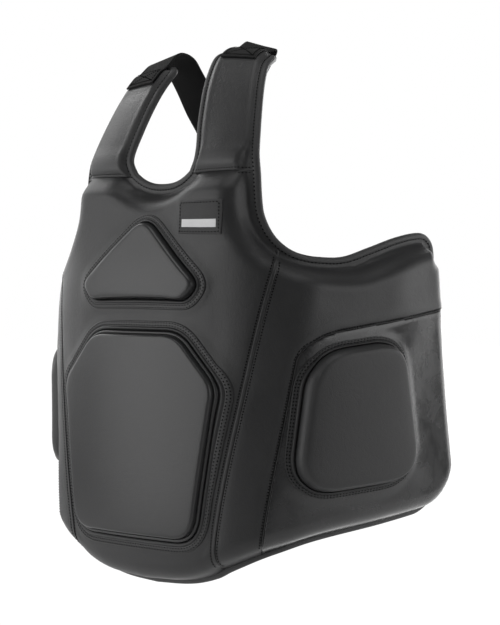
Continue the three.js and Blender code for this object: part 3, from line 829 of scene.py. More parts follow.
class SurfaceEffects:
    """Shader groups that several finishes share, each built once."""

    def __init__(self) -> None:
        """Builds the groups."""
        self.grain = self.make_grain()
        self.mottle = self.make_mottle()
        self.weave = self.make_weave()
        self.creases = self.make_creases()

    @staticmethod
    def start(name: str, inputs: Sequence[tuple[str, str, object]], outputs: Sequence[str]) -> tuple:
        """Makes an empty group with its sockets.

        Args:
            name: Name of the group.
            inputs: Name, kind and default of each input.
            outputs: Names of the value outputs.

        Returns:
            The group, its graph, the sockets given to it and the sockets that it puts out.
        """
        group = bpy.data.node_groups.new(name, "ShaderNodeTree")
        for label, kind, default in inputs:
            socket = group.interface.new_socket(label, in_out="INPUT", socket_type=kind)
            if default is not None:
                socket.default_value = default
        for label in outputs:
            group.interface.new_socket(label, in_out="OUTPUT", socket_type="NodeSocketFloat")
        graph = Graph(group)
        return group, graph, graph.add("NodeGroupInput").outputs, graph.add("NodeGroupOutput").inputs

    def make_grain(self) -> bpy.types.NodeTree:
        """Pebble grain of coated leather, as a height and a mask of the grooves between the pebbles, where
        shade is painted.

        Returns:
            The shader group.
        """
        group, graph, given, made = self.start(
            "leather_grain",
            [("Vector", "NodeSocketVector", None), ("Cells", "NodeSocketFloat", 700.0)], ["Height", "GrooveShade"])
        warp = graph.add("ShaderNodeTexNoise", {"Vector": given["Vector"], "Scale": 260.0, "Detail": 0.0})
        shift = graph.add("ShaderNodeVectorMath", {0: warp.outputs["Color"], 1: (0.0022, 0.0022, 0.0022)},
                          operation="MULTIPLY")
        moved = graph.add("ShaderNodeVectorMath", {0: given["Vector"], 1: shift.outputs[0]}, operation="ADD")
        cells = graph.add("ShaderNodeTexVoronoi", {"Vector": moved.outputs[0], "Scale": given["Cells"]},
                          feature="DISTANCE_TO_EDGE")
        ridge = graph.math("SMOOTH_MIN", cells.outputs["Distance"], 0.32, 0.25)
        height = graph.math("MULTIPLY_ADD", warp.outputs["Fac"], 0.2, ridge)
        # the grooves between the pebbles, a mask for painted shade
        groove_shade = graph.math("LESS_THAN", cells.outputs["Distance"], 0.06)
        graph.tree.links.new(height, made["Height"])
        graph.tree.links.new(groove_shade, made["GrooveShade"])
        return group

    def make_mottle(self) -> bpy.types.NodeTree:
        """Uneven handling marks over a large area, as a mask.

        Returns:
            The shader group.
        """
        group, graph, given, made = self.start(
            "handling_mottle",
            [("Vector", "NodeSocketVector", None), ("Scale", "NodeSocketFloat", 14.0),
             ("Contrast", "NodeSocketFloat", 1.0)], ["Mask"])
        broad = graph.add("ShaderNodeTexNoise", {
            "Vector": given["Vector"], "Scale": given["Scale"], "Detail": 3.0, "Roughness": 0.62,
            "Distortion": 0.3})
        centred = graph.math("SUBTRACT", broad.outputs["Fac"], 0.5)
        spread = graph.math("MULTIPLY", centred, given["Contrast"])
        mask = graph.add("ShaderNodeMath", {0: spread, 1: 0.5}, operation="ADD", use_clamp=True)
        graph.tree.links.new(mask.outputs[0], made["Mask"])
        return group

    def make_weave(self) -> bpy.types.NodeTree:
        """Over-and-under threads on a UV map in metres, as a height and a gap mask.

        Returns:
            The shader group.
        """
        group, graph, given, made = self.start(
            "thread_weave",
            [("Vector", "NodeSocketVector", None), ("Threads", "NodeSocketFloat", 900.0)], ["Height", "Gaps"])
        scaled = graph.add("ShaderNodeVectorMath", {0: given["Vector"], "Scale": given["Threads"]},
                           operation="SCALE")
        split = graph.add("ShaderNodeSeparateXYZ", {0: scaled.outputs[0]})
        waves = []
        for axis in ("X", "Y"):
            turned = graph.math("MULTIPLY", split.outputs[axis], math.pi)
            waves.append(graph.math("ABSOLUTE", graph.math("SINE", turned)))
        over = graph.add("ShaderNodeTexChecker", {"Vector": scaled.outputs[0], "Scale": 1.0})
        warp = graph.math("MULTIPLY", waves[0], over.outputs["Fac"])
        under = graph.math("SUBTRACT", 1.0, over.outputs["Fac"])
        weft = graph.math("MULTIPLY", waves[1], under)
        height = graph.math("ADD", warp, weft)
        gaps = graph.math("LESS_THAN", graph.math("MULTIPLY", waves[0], waves[1]), 0.12)
        graph.tree.links.new(height, made["Height"])
        graph.tree.links.new(gaps, made["Gaps"])
        return group

    def make_creases(self) -> bpy.types.NodeTree:
        """Long fine creases of a bent skin, as a height.

        Returns:
            The shader group.
        """
        group, graph, given, made = self.start(
            "skin_creases",
            [("Vector", "NodeSocketVector", None), ("Scale", "NodeSocketFloat", 60.0)], ["Height"])
        noise = graph.add("ShaderNodeTexNoise", {
            "Vector": given["Vector"], "Scale": given["Scale"], "Detail": 1.5,
            "Roughness": 0.5, "Distortion": 0.6})
        folded = graph.math("ABSOLUTE", graph.math("SUBTRACT", noise.outputs["Fac"], 0.5))
        height = graph.math("SMOOTH_MIN", folded, 0.08, 0.05)
        graph.tree.links.new(height, made["Height"])
        return group


def grey(value: float, blue: float = 0.0005) -> Triple:
    """A grey with a trace of blue."""
    return value, value, value + blue


@dataclass(frozen=True)
class LeatherFinish:
    """Coated leather with pebble grain, painted shade in the grooves between its pebbles, creases and uneven
    sheen.

    Attributes:
        name: Name of the material.
        dark: Colour in the hollows of the mottle, and the painted shade in the grain's grooves.
        light: Colour on its high places.
        rough: Lowest and highest roughness.
        cells: Grain cells per metre.
        grain: Bump strength of the grain.
        mottle: Scale of the handling marks.
        contrast: Contrast of the handling marks.
        crease: Bump strength of the creases.
        folds: Scale of the creases.
        specular: Strength of the plain reflection.
        coat: Weight of a clear coat.
    """

    name: str
    dark: Triple
    light: Triple
    rough: Pair
    cells: float = 700.0
    grain: float = 0.25
    mottle: float = 14.0
    contrast: float = 1.6
    crease: float = 0.8
    folds: float = 90.0
    specular: float = 0.35
    coat: float = 0.0

    def make(self, effects: SurfaceEffects) -> Material:
        """Builds the material.

        Args:
            effects: The shared shader groups.

        Returns:
            The finished material.
        """
        material, graph, shader = new_material(self.name)
        place = graph.add("ShaderNodeTexCoord").outputs["Object"]
        grain = graph.add("ShaderNodeGroup", node_tree=effects.grain)
        mottle = graph.add("ShaderNodeGroup", node_tree=effects.mottle)
        creases = graph.add("ShaderNodeGroup", node_tree=effects.creases)
        for node, values in ((grain, {"Cells": self.cells}),
                             (mottle, {"Scale": self.mottle, "Contrast": self.contrast}),
                             (creases, {"Scale": self.folds})):
            graph.tree.links.new(place, node.inputs["Vector"])
            for key, value in values.items():
                node.inputs[key].default_value = value
        mask, dark = mottle.outputs["Mask"], (*self.dark, 1)
        tint = graph.add("ShaderNodeMix", {"Factor": mask, "A": dark, "B": (*self.light, 1)}, data_type="RGBA")
        # painted shade: the grooves between the grain's pebbles are darkened toward the dark colour
        groove_shade = graph.math("MULTIPLY", grain.outputs["GrooveShade"], 0.35)
        shade = graph.add("ShaderNodeMix", {"Factor": groove_shade, "A": tint.outputs["Result"], "B": dark},
                          data_type="RGBA")
        low, high = self.rough
        rough = graph.add("ShaderNodeMapRange", {"Value": mask, "To Min": low, "To Max": high})
        folds = graph.math("MULTIPLY", creases.outputs["Height"], self.crease)
        height = graph.math("MULTIPLY_ADD", grain.outputs["Height"], self.grain, folds)
        bump = graph.add("ShaderNodeBump", {"Height": height, "Strength": 0.8, "Distance": 0.001})
        wire(graph, shader, {"Base Color": shade.outputs["Result"], "Roughness": rough.outputs["Result"],
                             "Normal": bump.outputs["Normal"]})
        shader.inputs["Specular IOR Level"].default_value = self.specular
        shader.inputs["Coat Weight"].default_value = self.coat
        shader.inputs["Coat Roughness"].default_value = 0.25
        return material


@dataclass(frozen=True)
class WovenFinish:
    """Woven cloth or webbing on a UV map in metres.

    Attributes:
        name: Name of the material.
        dark: Colour between the threads, painted shade in the weave's hollows.
        light: Colour on the crowns of the threads, painted lighter than their sides.
        rough: Roughness.
        threads: Threads per metre.
        relief: Bump strength of the weave.
        sheen: Weight of the fuzzy sheen.
        specular: Strength of the plain reflection.
    """

    name: str
    dark: Triple
    light: Triple
    rough: float = 0.8
    threads: float = 900.0
    relief: float = 0.5
    sheen: float = 0.05
    specular: float = 0.25

    def make(self, effects: SurfaceEffects) -> Material:
        """Builds the material.

        Args:
            effects: The shared shader groups.

        Returns:
            The finished material.
        """
        material, graph, shader = new_material(self.name)
        texture = graph.add("ShaderNodeTexCoord")
        weave = graph.add("ShaderNodeGroup", node_tree=effects.weave)
        mottle = graph.add("ShaderNodeGroup", node_tree=effects.mottle)
        graph.tree.links.new(texture.outputs["UV"], weave.inputs["Vector"])
        graph.tree.links.new(texture.outputs["Object"], mottle.inputs["Vector"])
        weave.inputs["Threads"].default_value = self.threads
        mottle.inputs["Scale"].default_value = 40.0
        # painted shade: the colour follows the weave's height, darker between the threads and lighter on their
        # crowns, with the mottle's random tone over it
        depth = graph.math("MULTIPLY", weave.outputs["Height"], mottle.outputs["Mask"])
        share = graph.math("MULTIPLY_ADD", depth, 0.8, 0.3)
        tint = graph.add("ShaderNodeMix", {"Factor": share, "A": (*self.dark, 1), "B": (*self.light, 1)},
                         data_type="RGBA")
        bump = graph.add("ShaderNodeBump", {"Height": weave.outputs["Height"], "Strength": self.relief,
                                            "Distance": 0.0005})
        wire(graph, shader, {"Base Color": tint.outputs["Result"], "Normal": bump.outputs["Normal"]})
        shader.inputs["Roughness"].default_value = self.rough
        shader.inputs["Sheen Weight"].default_value = self.sheen
        shader.inputs["Specular IOR Level"].default_value = self.specular
        return material


def new_material(name: str) -> tuple[Material, Graph, bpy.types.Node]:
    """An empty node material with its surface shader.

    Args:
        name: Name of the material.

    Returns:
        The material, its graph and its surface shader.
    """
    material = bpy.data.materials.new(name)
    material.use_nodes = True
    graph = Graph(material.node_tree)
    material.node_tree.nodes.clear()
    shader = graph.add("ShaderNodeBsdfPrincipled")
    graph.add("ShaderNodeOutputMaterial", {"Surface": shader.outputs["BSDF"]})
    return material, graph, shader


def wire(graph: Graph, shader: bpy.types.Node, feeds: dict[str, bpy.types.NodeSocket]) -> None:
    """Links outputs to the surface shader's inputs by name."""
    for name, output in feeds.items():
        graph.tree.links.new(output, shader.inputs[name])


class Finishes:
    """All materials of the part, built once."""

    def __init__(self) -> None:
        """Builds every finish from the shared effects."""
        effects = SurfaceEffects()

        def leather(name: str, dark: float, light: float, rough: Pair, **more: float) -> Material:
            """One leather between two greys."""
            return LeatherFinish(name, grey(dark), grey(light), rough, **more).make(effects)

        def woven(name: str, dark: Triple, light: Triple, *rest: float) -> Material:
            """One cloth between two colours."""
            return WovenFinish(name, dark, light, *rest).make(effects)

        self.leather = leather("matte_leather", 0.008, 0.014, (0.40, 0.54))
        self.gloss = leather("gloss_leather", 0.005, 0.011, (0.16, 0.36), mottle=26.0, contrast=1.9,
                             grain=0.1, crease=0.5, specular=0.5)
        self.moulded = leather("moulded_leather", 0.016, 0.022, (0.27, 0.36), mottle=9.0, contrast=1.1,
                               grain=0.16, crease=0.4, specular=0.3)
        self.soft = leather("soft_leather", 0.013, 0.019, (0.46, 0.58), mottle=11.0, crease=0.7)
        self.strap = leather("strap_leather", 0.012, 0.018, (0.42, 0.54), mottle=20.0, crease=1.6,
                             folds=170.0, specular=0.4)
        self.tape = leather("edge_tape", 0.022, 0.032, (0.46, 0.58), cells=1100.0, mottle=60.0,
                            crease=0.6, specular=0.3)
        # black webbing: partly its own black, partly painted shade, its colour made darker than the cloth's
        # black for the shade it lies in behind the straps
        self.webbing = woven("black_webbing", grey(0.002, 0.0), grey(0.010, 0.0002), 0.85, 650.0, 0.7, 0.0)
        self.lining = woven("lining_cloth", grey(0.005), grey(0.016), 0.72, 1100.0, 0.35)
        self.label = woven("label_cloth", grey(0.018), grey(0.034), 0.6, 1500.0, 0.3)
        self.bar = woven("label_bar", grey(0.42, 0.005), grey(0.62, 0.005), 0.6, 1500.0, 0.3)
        self.thread = woven("sewing_thread", grey(0.0005, 0.0), grey(0.001, 0.0), 0.9, 2500.0, 0.3, 0.0, 0.03)


class PaddedPanel:
    """A sewn panel: a flat cut, padded out and wrapped round the torso."""

    # seam allowance, gap and snapping distance of a cut in millimetres, and the crease weight of its rim
    JOIN = 0.8
    CUT = 0.2
    SNAP = 1.9
    CREASE = 0.8
    # distances over which the sewing lets go: from the cut's rim, the free edges, a pad, the label and a tab
    RIM_HOLD = (5.0, 16.0)
    EDGE_HOLD = (9.0, 20.0)
    PAD_HOLD = (1.0, 9.0)
    LABEL_HOLD = (1.0, 8.0)
    TAB_HOLD = (2.0, 12.0)
    # distance from a free edge over which the spare cloth ends
    LOOSE = (16.0, 46.0)

    def __init__(self, name: str, base: Base, columns: int, rows: int, place: Callable[..., Places],
                 sign: int = 1, cover: bool | None = None) -> None:
        """Cuts the panel flat.

        Args:
            name: Name of the piece.
            base: What its padding depth is read from.
            columns: Steps across.
            rows: Steps along.
            place: Gives the pattern places for shares across and along.
            sign: Minus one for the wearer's right side.
            cover: True for the part of a wing under the side cover, False for the rest of it.
        """
        self.name, self.base, self.sign = name, base, sign
        self.bm, s, t = flat_grid(columns, rows)
        across, along = place(s, t)
        write_verts(self.bm, np.stack([across, along, 0 * across], -1))
        if cover is not None:
            self.cut(cover)

    def cut(self, cover: bool) -> None:
        """Cuts a wing along the side cover's line and keeps one part of it.

        Args:
            cover: True to keep the part under the cover.
        """
        bm = self.bm
        bm.verts.index_update()
        at = read_verts(bm)[:, :2]
        line = resample(PATTERN.cover_line, 0.5)
        side = np.where(PATTERN.in_cover(*at.T), 1.0, -1.0) * PATTERN.cover_distance(*at.T)
        on_line = np.abs(side) < self.SNAP
        for edge in bm.edges:
            a, b = (v.index for v in edge.verts)
            if side[a] * side[b] < 0 and not on_line[a] and not on_line[b]:
                on_line[a if abs(side[a]) < abs(side[b]) else b] = True
        beside = line + sideways(line) * (-self.CUT if cover else self.CUT)
        for vert in bm.verts:
            if on_line[vert.index]:
                vert.co.x, vert.co.y = beside[np.argmin(np.sum((line - at[vert.index])**2, axis=1))]
        side[on_line] = 0.0
        kept = {v: side[v.index] for v in bm.verts}
        for face in bm.faces[:]:
            held = [v for v in face.verts if kept[v] == 0.0]
            if len(held) == 2 and {np.sign(kept[v]) for v in face.verts} == {-1.0, 0.0, 1.0}:
                bmesh.utils.face_split(face, *held)
        wanted = 1.0 if cover else -1.0
        drop = [f for f in bm.faces if sum(kept[v] for v in f.verts) * wanted <= 0]
        bmesh.ops.delete(bm, geom=drop, context="FACES")

    def held(self, flat: Array, outside: Array, rim: Array) -> Array:
        """How firmly each vertex is sewn down, 1 at the lining, the seams and under what is sewn on.

        Args:
            flat: Rows of across, along and height.
            outside: True for the vertices of the cover.
            rim: Rows of the two ends of each edge of the flat cut.

        Returns:
            One share per vertex.
        """
        across, along = flat[:, 0], flat[:, 1]
        cut = np.stack([across * self.sign, along], -1)
        free = ease(line_distance(cut, rim[:, :2], rim[:, 2:]), *self.RIM_HOLD)
        if self.base is Base.BODY:
            free = free * ease(PATTERN.edge_distance(across, along), *self.EDGE_HOLD)
            for well in PATTERN.wells:
                free = free * ease(-well.inset_at(across, along), *self.PAD_HOLD)
            free = free * ease(Label().distance(across, along), *self.LABEL_HOLD)
        else:
            tab = next(strap.tab for strap in STRAPS if strap.base is self.base)
            free = free * ease(tab - along, *self.TAB_HOLD)
        return np.where(outside, 1.0 - free, 1.0)

    def build(self, materials: Sequence[Material]) -> Piece:
        """Pads the cut out, wraps it and makes its object.

        Args:
            materials: The cover's finish, then the lining's.

        Returns:
            The new object.
        """
        bm = self.bm
        rim = np.array([[*e.verts[0].co[:2], *e.verts[1].co[:2]] for e in bm.edges if e.is_boundary])
        outer = set(thicken(bm, 0.0))
        lay_uv(bm)
        crease = bm.edges.layers.float.new("crease_edge")
        for face in bm.faces:
            on_top = [v in outer for v in face.verts]
            face.material_index = 0 if all(on_top) else 1
            if any(on_top) and not all(on_top):
                for edge in face.edges:
                    edge[crease] = self.CREASE if len({v in outer for v in edge.verts}) == 1 else 0.0
        flat = read_verts(bm)
        flat[:, 0] *= self.sign
        outside = np.array([v in outer for v in bm.verts])
        held, settling = self.held(flat, outside, rim), Settling()
        flat[:, 2] -= (settling.start * (1.0 - held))
        points = np.empty_like(flat)
        points[outside] = wrapped(flat[outside], self.base)
        points[~outside] = wrapped(flat[~outside], Base.LINING)
        write_verts(bm, points)
        obj = mesh_object(bm, self.name, materials)
        inside = PATTERN.edge_distance(flat[:, 0], flat[:, 1])
        settling.run(obj, held, np.where(outside, 1.0 - ease(inside, *self.LOOSE), 0.0))
        subdivide(obj)
        return obj


@dataclass(frozen=True)
class Settling:
    """Blows a padded piece up against its seams with the cloth solver.

    Attributes:
        pressure: Pressure of the padding.
        frames: Steps of the solver.
        cap: Furthest that a point may move, in millimetres.
        spare: Share of spare cloth where it is loose.
        start: How much thinner the piece is before it swells, in millimetres.
        passes: How often the moves are evened out over neighbouring points.
        sewn: Share from which a point counts as sewn down.
    """

    pressure: float = 4.0
    frames: int = 14
    cap: float = 1.8
    spare: float = 0.012
    start: float = 1.2
    passes: int = 10
    sewn: float = 0.98

    def run(self, obj: Piece, held: Array, loose: Array) -> None:
        """Runs the solver and keeps its result in the mesh.

        Args:
            obj: The piece.
            held: How firmly each vertex is sewn down.
            loose: Where the cover has spare cloth.
        """
        for name, shares in (("held", held), ("loose", loose)):
            group = obj.vertex_groups.new(name=name)
            for i, share in enumerate(shares):
                group.add([i], float(share), "REPLACE")
        modifier = obj.modifiers.new("Cloth", "CLOTH")
        cloth = modifier.settings
        cloth.quality = 5
        cloth.mass = 0.25
        cloth.tension_stiffness = cloth.compression_stiffness = 20.0
        cloth.shear_stiffness = 8.0
        cloth.bending_stiffness = 8.0
        cloth.use_pressure = True
        cloth.uniform_pressure_force = self.pressure
        cloth.vertex_group_mass = "held"
        cloth.vertex_group_shrink = "loose"
        cloth.shrink_min, cloth.shrink_max = 0.0, -self.spare
        cloth.effector_weights.gravity = 0.0
        modifier.point_cache.frame_start, modifier.point_cache.frame_end = 1, self.frames
        scene = bpy.context.scene
        for step in range(1, self.frames + 1):
            scene.frame_set(step)
        seen = obj.evaluated_get(bpy.context.evaluated_depsgraph_get()).data
        before = np.array([v.co[:] for v in obj.data.vertices])
        after = np.array([v.co[:] for v in seen.vertices])
        move = after - before
        far = np.linalg.norm(move, axis=1, keepdims=True)
        move = move * np.minimum(1.0, self.cap * MM / np.maximum(far, 1e-9))
        ends = np.array([edge.vertices[:] for edge in obj.data.edges])
        count = np.bincount(ends.ravel(), minlength=len(before))[:, None]
        for _ in range(self.passes):
            total = np.zeros_like(move)
            np.add.at(total, ends[:, 0], move[ends[:, 1]])
            np.add.at(total, ends[:, 1], move[ends[:, 0]])
            move = np.where(held[:, None] < self.sewn, total / count, 0.0)
        LOG.info("%s settled: %.2f mm at most", obj.name, float(far.max()) / MM)
        obj.modifiers.remove(modifier)
        obj.vertex_groups.clear()
        scene.frame_set(1)
        for vert, place in zip(obj.data.vertices, before + move):
            vert.co = place


class PadEdge(Enum):
    """How the edge of a raised pad is shaped."""

    CRISP = "crisp"
    STEPPED = "stepped"
    SOFT = "soft"


@dataclass
class RaisedPad:
    """A moulded pad and the welt that is sewn round it.

    Attributes:
        name: Name of the pad's node.
        outline: Its outline on the pattern.
        height: Height of the block over the body, in millimetres.
        edge: Shape of its edge.
        stitch_rows: Inset and height of the stitch rows on the welt.
        stitch_pitch: Distance from stitch to stitch.
    """

    # inset from the welt's outer edge, share of the way to the centre, share of the pad's height
    BLOCKS = {
        PadEdge.CRISP: (
            (11.4, 0, -0.2), (12.0, 0, 0.0), (12.3, 0, 0.2), (12.6, 0, 0.42), (13.1, 0, 0.62), (13.9, 0, 0.79),
            (15.1, 0, 0.91), (17.0, 0, 0.97), (19.4, 0, 0.995), (19.4, 0.06, 1.01), (19.4, 0.16, 1.022),
            (19.4, 0.32, 1.036), (19.4, 0.5, 1.046), (19.4, 0.7, 1.053), (19.4, 0.87, 1.056), (19.4, 1, 1.056),
        ),
        PadEdge.STEPPED: (
            (11.6, 0, -0.2), (12.1, 0, 0.0), (12.3, 0, 0.2), (12.7, 0, 0.35), (13.5, 0, 0.43), (14.8, 0, 0.44),
            (15.9, 0, 0.40), (16.3, 0, 0.34), (16.6, 0, 0.36), (16.8, 0, 0.52), (17.1, 0, 0.70),
            (17.7, 0, 0.86), (18.8, 0, 0.95), (20.4, 0, 0.985), (20.4, 0.05, 1.0), (20.4, 0.16, 1.014),
            (20.4, 0.32, 1.03), (20.4, 0.5, 1.042), (20.4, 0.7, 1.05), (20.4, 0.87, 1.054), (20.4, 1, 1.054),
        ),
        PadEdge.SOFT: (
            (11.4, 0, -0.2), (12.0, 0, 0.0), (12.3, 0, 0.16), (12.9, 0, 0.34), (14.0, 0, 0.53), (15.8, 0, 0.70),
            (18.4, 0, 0.83), (21.5, 0, 0.92), (21.5, 0.1, 0.962), (21.5, 0.22, 0.99), (21.5, 0.38, 1.01),
            (21.5, 0.58, 1.03), (21.5, 0.8, 1.04), (21.5, 1, 1.04),
        ),
    }
    # inset and height of the welt's skin: a flat sewn tape, a round piping and the way back underneath
    WELT = (
        (0.0, -0.8), (0.0, 0.8), (0.5, 1.4), (1.6, 1.6), (3.6, 1.6), (5.6, 1.5), (6.7, 1.2), (7.2, 1.5),
        (7.8, 2.5), (8.9, 3.3), (10.1, 3.2), (11.2, 2.5), (12.0, 1.2), (12.4, -0.4), (12.5, -1.8), (6.0, -1.2),
    )

    name: str
    outline: PadOutline
    height: float
    edge: PadEdge
    stitch_rows: tuple[Pair, ...] = ((2.0, 1.85), (5.2, 1.8))
    stitch_pitch: float = 4.2

    @staticmethod
    def smoothed(profile: Sequence[Triple], loop: bool) -> list[Triple]:
        """The profile with a point added between each two rows, on a smooth curve.

        Args:
            profile: Rows of the profile.
            loop: True if the last row joins the first.

        Returns:
            The denser rows.
        """
        rows = list(profile) + ([profile[0]] if loop else [])
        at = np.arange(2 * len(rows) - 1) / 2
        columns = [Table(list(enumerate(column)))(at) for column in zip(*rows)]
        made = list(zip(*columns))
        return made[:-1] if loop else made

    def ring(self, profile: Sequence[Triple], loop: bool) -> BMesh:
        """A profile carried round the outline.

        Args:
            profile: Inset, share to the centre and height in millimetres, row by row.
            loop: True if the last row joins the first.

        Returns:
            The bmesh, on the flat pattern.
        """
        profile = self.smoothed(profile, loop)
        rows = len(profile) if loop else len(profile) - 1
        count = len(self.outline.line)
        bm, s, t = flat_grid(count, rows)
        column = np.rint(s * count).astype(int) % count
        row = np.rint(t * rows).astype(int) % len(profile)
        lines = np.stack([self.outline.at(inset, share) for inset, share, _ in profile])
        heights = np.array([height for *_, height in profile])
        flat = np.concatenate([lines[row, column], heights[row][:, None]], axis=1)
        write_verts(bm, flat)
        bmesh.ops.remove_doubles(bm, verts=bm.verts[:], dist=1e-3)
        return bm

    def build(self, finish: Material, welt_finish: Material) -> list[Piece]:
        """Makes the block and the welt.

        Args:
            finish: Finish of the block.
            welt_finish: Finish of the welt.

        Returns:
            The two objects.
        """
        made = []
        block = [(inset, share, rise * self.height) for inset, share, rise in self.BLOCKS[self.edge]]
        welt = [(inset, 0.0, rise) for inset, rise in self.WELT]
        for profile, loop, name, material in ((block, False, self.name, finish),
                                              (welt, True, self.name.replace("pad", "pad_welt"), welt_finish)):
            bm = self.ring(profile, loop)
            if not loop:
                close_holes(bm)
            lay_uv(bm)
            write_verts(bm, wrapped(read_verts(bm), Base.BODY))
            made.append(mesh_object(bm, name, [material]))
        return made

    def seams(self) -> list["StitchLine"]:
        """The stitch rows on the welt."""
        return [StitchLine(self.outline.at(inset), rise, Base.BODY, closed=True, pitch=self.stitch_pitch)
                for inset, rise in self.stitch_rows]


@dataclass
class StitchLine:
    """One row of stitches on the flat pattern.

    Attributes:
        line: Points of the row.
        rise: Height over the base.
        base: What the height is measured from.
        closed: True if the row goes round.
        pitch: Distance from stitch to stitch.
    """

    line: Array
    rise: float
    base: Base
    closed: bool = False
    pitch: float = 3.5


@dataclass
class Stitching:
    """Thread of a group of sewn rows.

    Attributes:
        name: Name of the piece.
        lines: The rows.
        size: Length, width and height of a stitch.
    """

    name: str
    lines: list[StitchLine]
    size: Triple = (2.0, 1.3, 1.0)

    def build(self, finish: Material) -> Piece:
        """Makes every stitch of the group as one piece.

        Args:
            finish: Finish of the thread.

        Returns:
            The new object.
        """
        bm, one = bmesh.new(), self.stitch()
        form = np.array([v.co[:] for v in one.vertices])
        flat, spans = [], []
        for row in self.lines:
            points = resample(row.line, row.pitch, row.closed)
            right = sideways(points, row.closed)
            run = np.stack([-right[:, 1], right[:, 0]], -1)
            made = points[:, None] + run[:, None] * form[None, :, :1] + right[:, None] * form[None, :, 1:2]
            rise = np.broadcast_to(row.rise + form[None, :, 2:], made.shape[:2] + (1,))
            flat.append(np.concatenate([made, rise], axis=2).reshape(-1, 3))
            spans.append(row.base)
            for _ in points:
                bm.from_mesh(one, face_normals=False, vertex_normals=False)
        write_verts(bm, np.concatenate(flat))
        lay_uv(bm)
        write_verts(bm, np.concatenate([wrapped(part, base) for part, base in zip(flat, spans)]))
        return mesh_object(bm, self.name, [finish])

    def stitch(self) -> bpy.types.Mesh:
        """One stitch lying along X, to be repeated.

        Returns:
            Its mesh.
        """
        bm = bmesh.new()
        shape = Matrix.Diagonal((self.size[0] / 2, self.size[1] / 2, self.size[2] / 2, 1))
        bmesh.ops.create_uvsphere(bm, u_segments=6, v_segments=4, radius=1.0, matrix=shape)
        mesh = bpy.data.meshes.new(f"{self.name}_one")
        bm.to_mesh(mesh)
        bm.free()
        return mesh


@dataclass
class EdgeTape:
    """Binding tape folded round a free edge.

    Attributes:
        name: Name of the node.
        line: The edge on the pattern, with the panel to the left of it.
        half_width: Half the width of the folded tape.
        half_height: Half its thickness.
        outside: How far its middle lies outside the edge.
        base: What its height is measured from.
        middle: Height of its middle.
        step: Spacing of its sections.
        roundness: Power of the round outline of a section.
        uv_radius: Radius that its UV is laid out for.
        stitches: Inset, height over the border and pitch of its stitch row.
    """

    name: str
    line: Array
    half_width: float = 5.0
    half_height: float = 4.6
    outside: float = 0.7
    base: Base = Base.LINING
    middle: float = PATTERN.flange / 2
    step: float = 4.0
    roundness: int = 3
    uv_radius: float = 5.0
    stitches: Triple = (2.2, 0.8, 4.8)

    def __post_init__(self) -> None:
        """Spaces the points of the edge evenly."""
        self.line = resample(self.line, self.step)

    def build(self, finish: Material, sides: int = 12) -> Piece:
        """Makes the tape as a flattened tube along the edge.

        Args:
            finish: Finish of the tape.
            sides: Points round its section.

        Returns:
            The new object.
        """
        steps = len(self.line) - 1
        bm, s, t = flat_grid(steps, sides)
        column = np.rint(s * steps).astype(int)
        angle = 2 * math.pi * np.rint(t * sides) / sides
        out = sideways(self.line)
        power = self.roundness
        spread = np.abs(np.cos(angle))**power + np.abs(np.sin(angle))**power
        bulge = 1.0 / np.maximum(spread, 1e-9)**(1 / power)
        reach = self.outside + self.half_width * bulge * np.cos(angle)
        height = self.middle + self.half_height * bulge * np.sin(angle)
        flat = np.concatenate([self.line[column] + out[column] * reach[:, None], height[:, None]], axis=1)
        write_verts(bm, np.stack([s * steps * self.step, angle * self.uv_radius, 0 * s], -1))
        lay_uv(bm)
        write_verts(bm, wrapped(flat, self.base))
        bmesh.ops.remove_doubles(bm, verts=bm.verts[:], dist=1e-6)
        close_holes(bm)
        obj = mesh_object(bm, self.name, [finish])
        subdivide(obj)
        return obj

    def seam(self) -> StitchLine:
        """The stitch row along the inner border of the tape."""
        inset, rise, pitch = self.stitches
        line = self.line - sideways(self.line) * inset
        return StitchLine(line, PATTERN.flange + rise, Base.LINING, pitch=pitch)


@dataclass
class Ribbon:
    """A strap of webbing through cross-sections in millimetres.

    Attributes:
        name: Name of the node.
        sections: Points of each cross-section, from one edge to the other.
        thick: Thickness of the webbing.
        step: Spacing of the built sections.
        rolled: Least turn in radians of an edge that is rounded, and by how much.
    """

    name: str
    sections: Array
    thick: float = 2.3
    step: float = 3.0
    rolled: Pair = (1.2, 0.6)

    def dense(self) -> Array:
        """The cross-sections on a smooth curve, closely spaced.

        Returns:
            Points by section and by place across it.
        """
        count, wide, _ = self.sections.shape
        middle = self.sections[:, wide // 2]
        walked = np.concatenate([[0.0], np.cumsum(np.linalg.norm(np.diff(middle, axis=0), axis=1))])
        steps = max(4, int(round(walked[-1] / self.step)))
        at = np.linspace(0, walked[-1], steps + 1)
        made = np.empty((steps + 1, wide, 3))
        for j in range(wide):
            for k in range(3):
                made[:, j, k] = Table(list(zip(walked, self.sections[:, j, k])))(at)
        return made

    def build(self, finish: Material) -> Piece:
        """Makes the strap with its thickness.

        Args:
            finish: Finish of the webbing.

        Returns:
            The new object.
        """
        rows = self.dense()
        steps, wide = rows.shape[0] - 1, rows.shape[1] - 1
        bm, s, t = flat_grid(steps, wide)
        i, j = np.rint(s * steps).astype(int), np.rint(t * wide).astype(int)
        breadth = np.linalg.norm(rows[0, -1] - rows[0, 0])
        write_verts(bm, np.stack([t * breadth, s * steps * self.step, 0 * s], -1))
        lay_uv(bm)
        points = TORSO.placed(rows[i, j])
        write_verts(bm, points)
        bmesh.ops.recalc_face_normals(bm, faces=bm.faces[:])
        bmesh.ops.solidify(bm, geom=bm.faces[:], thickness=self.thick * MM)
        angle, offset = self.rolled
        roll_edges(bm, angle, offset * MM)
        return mesh_object(bm, self.name, [finish])


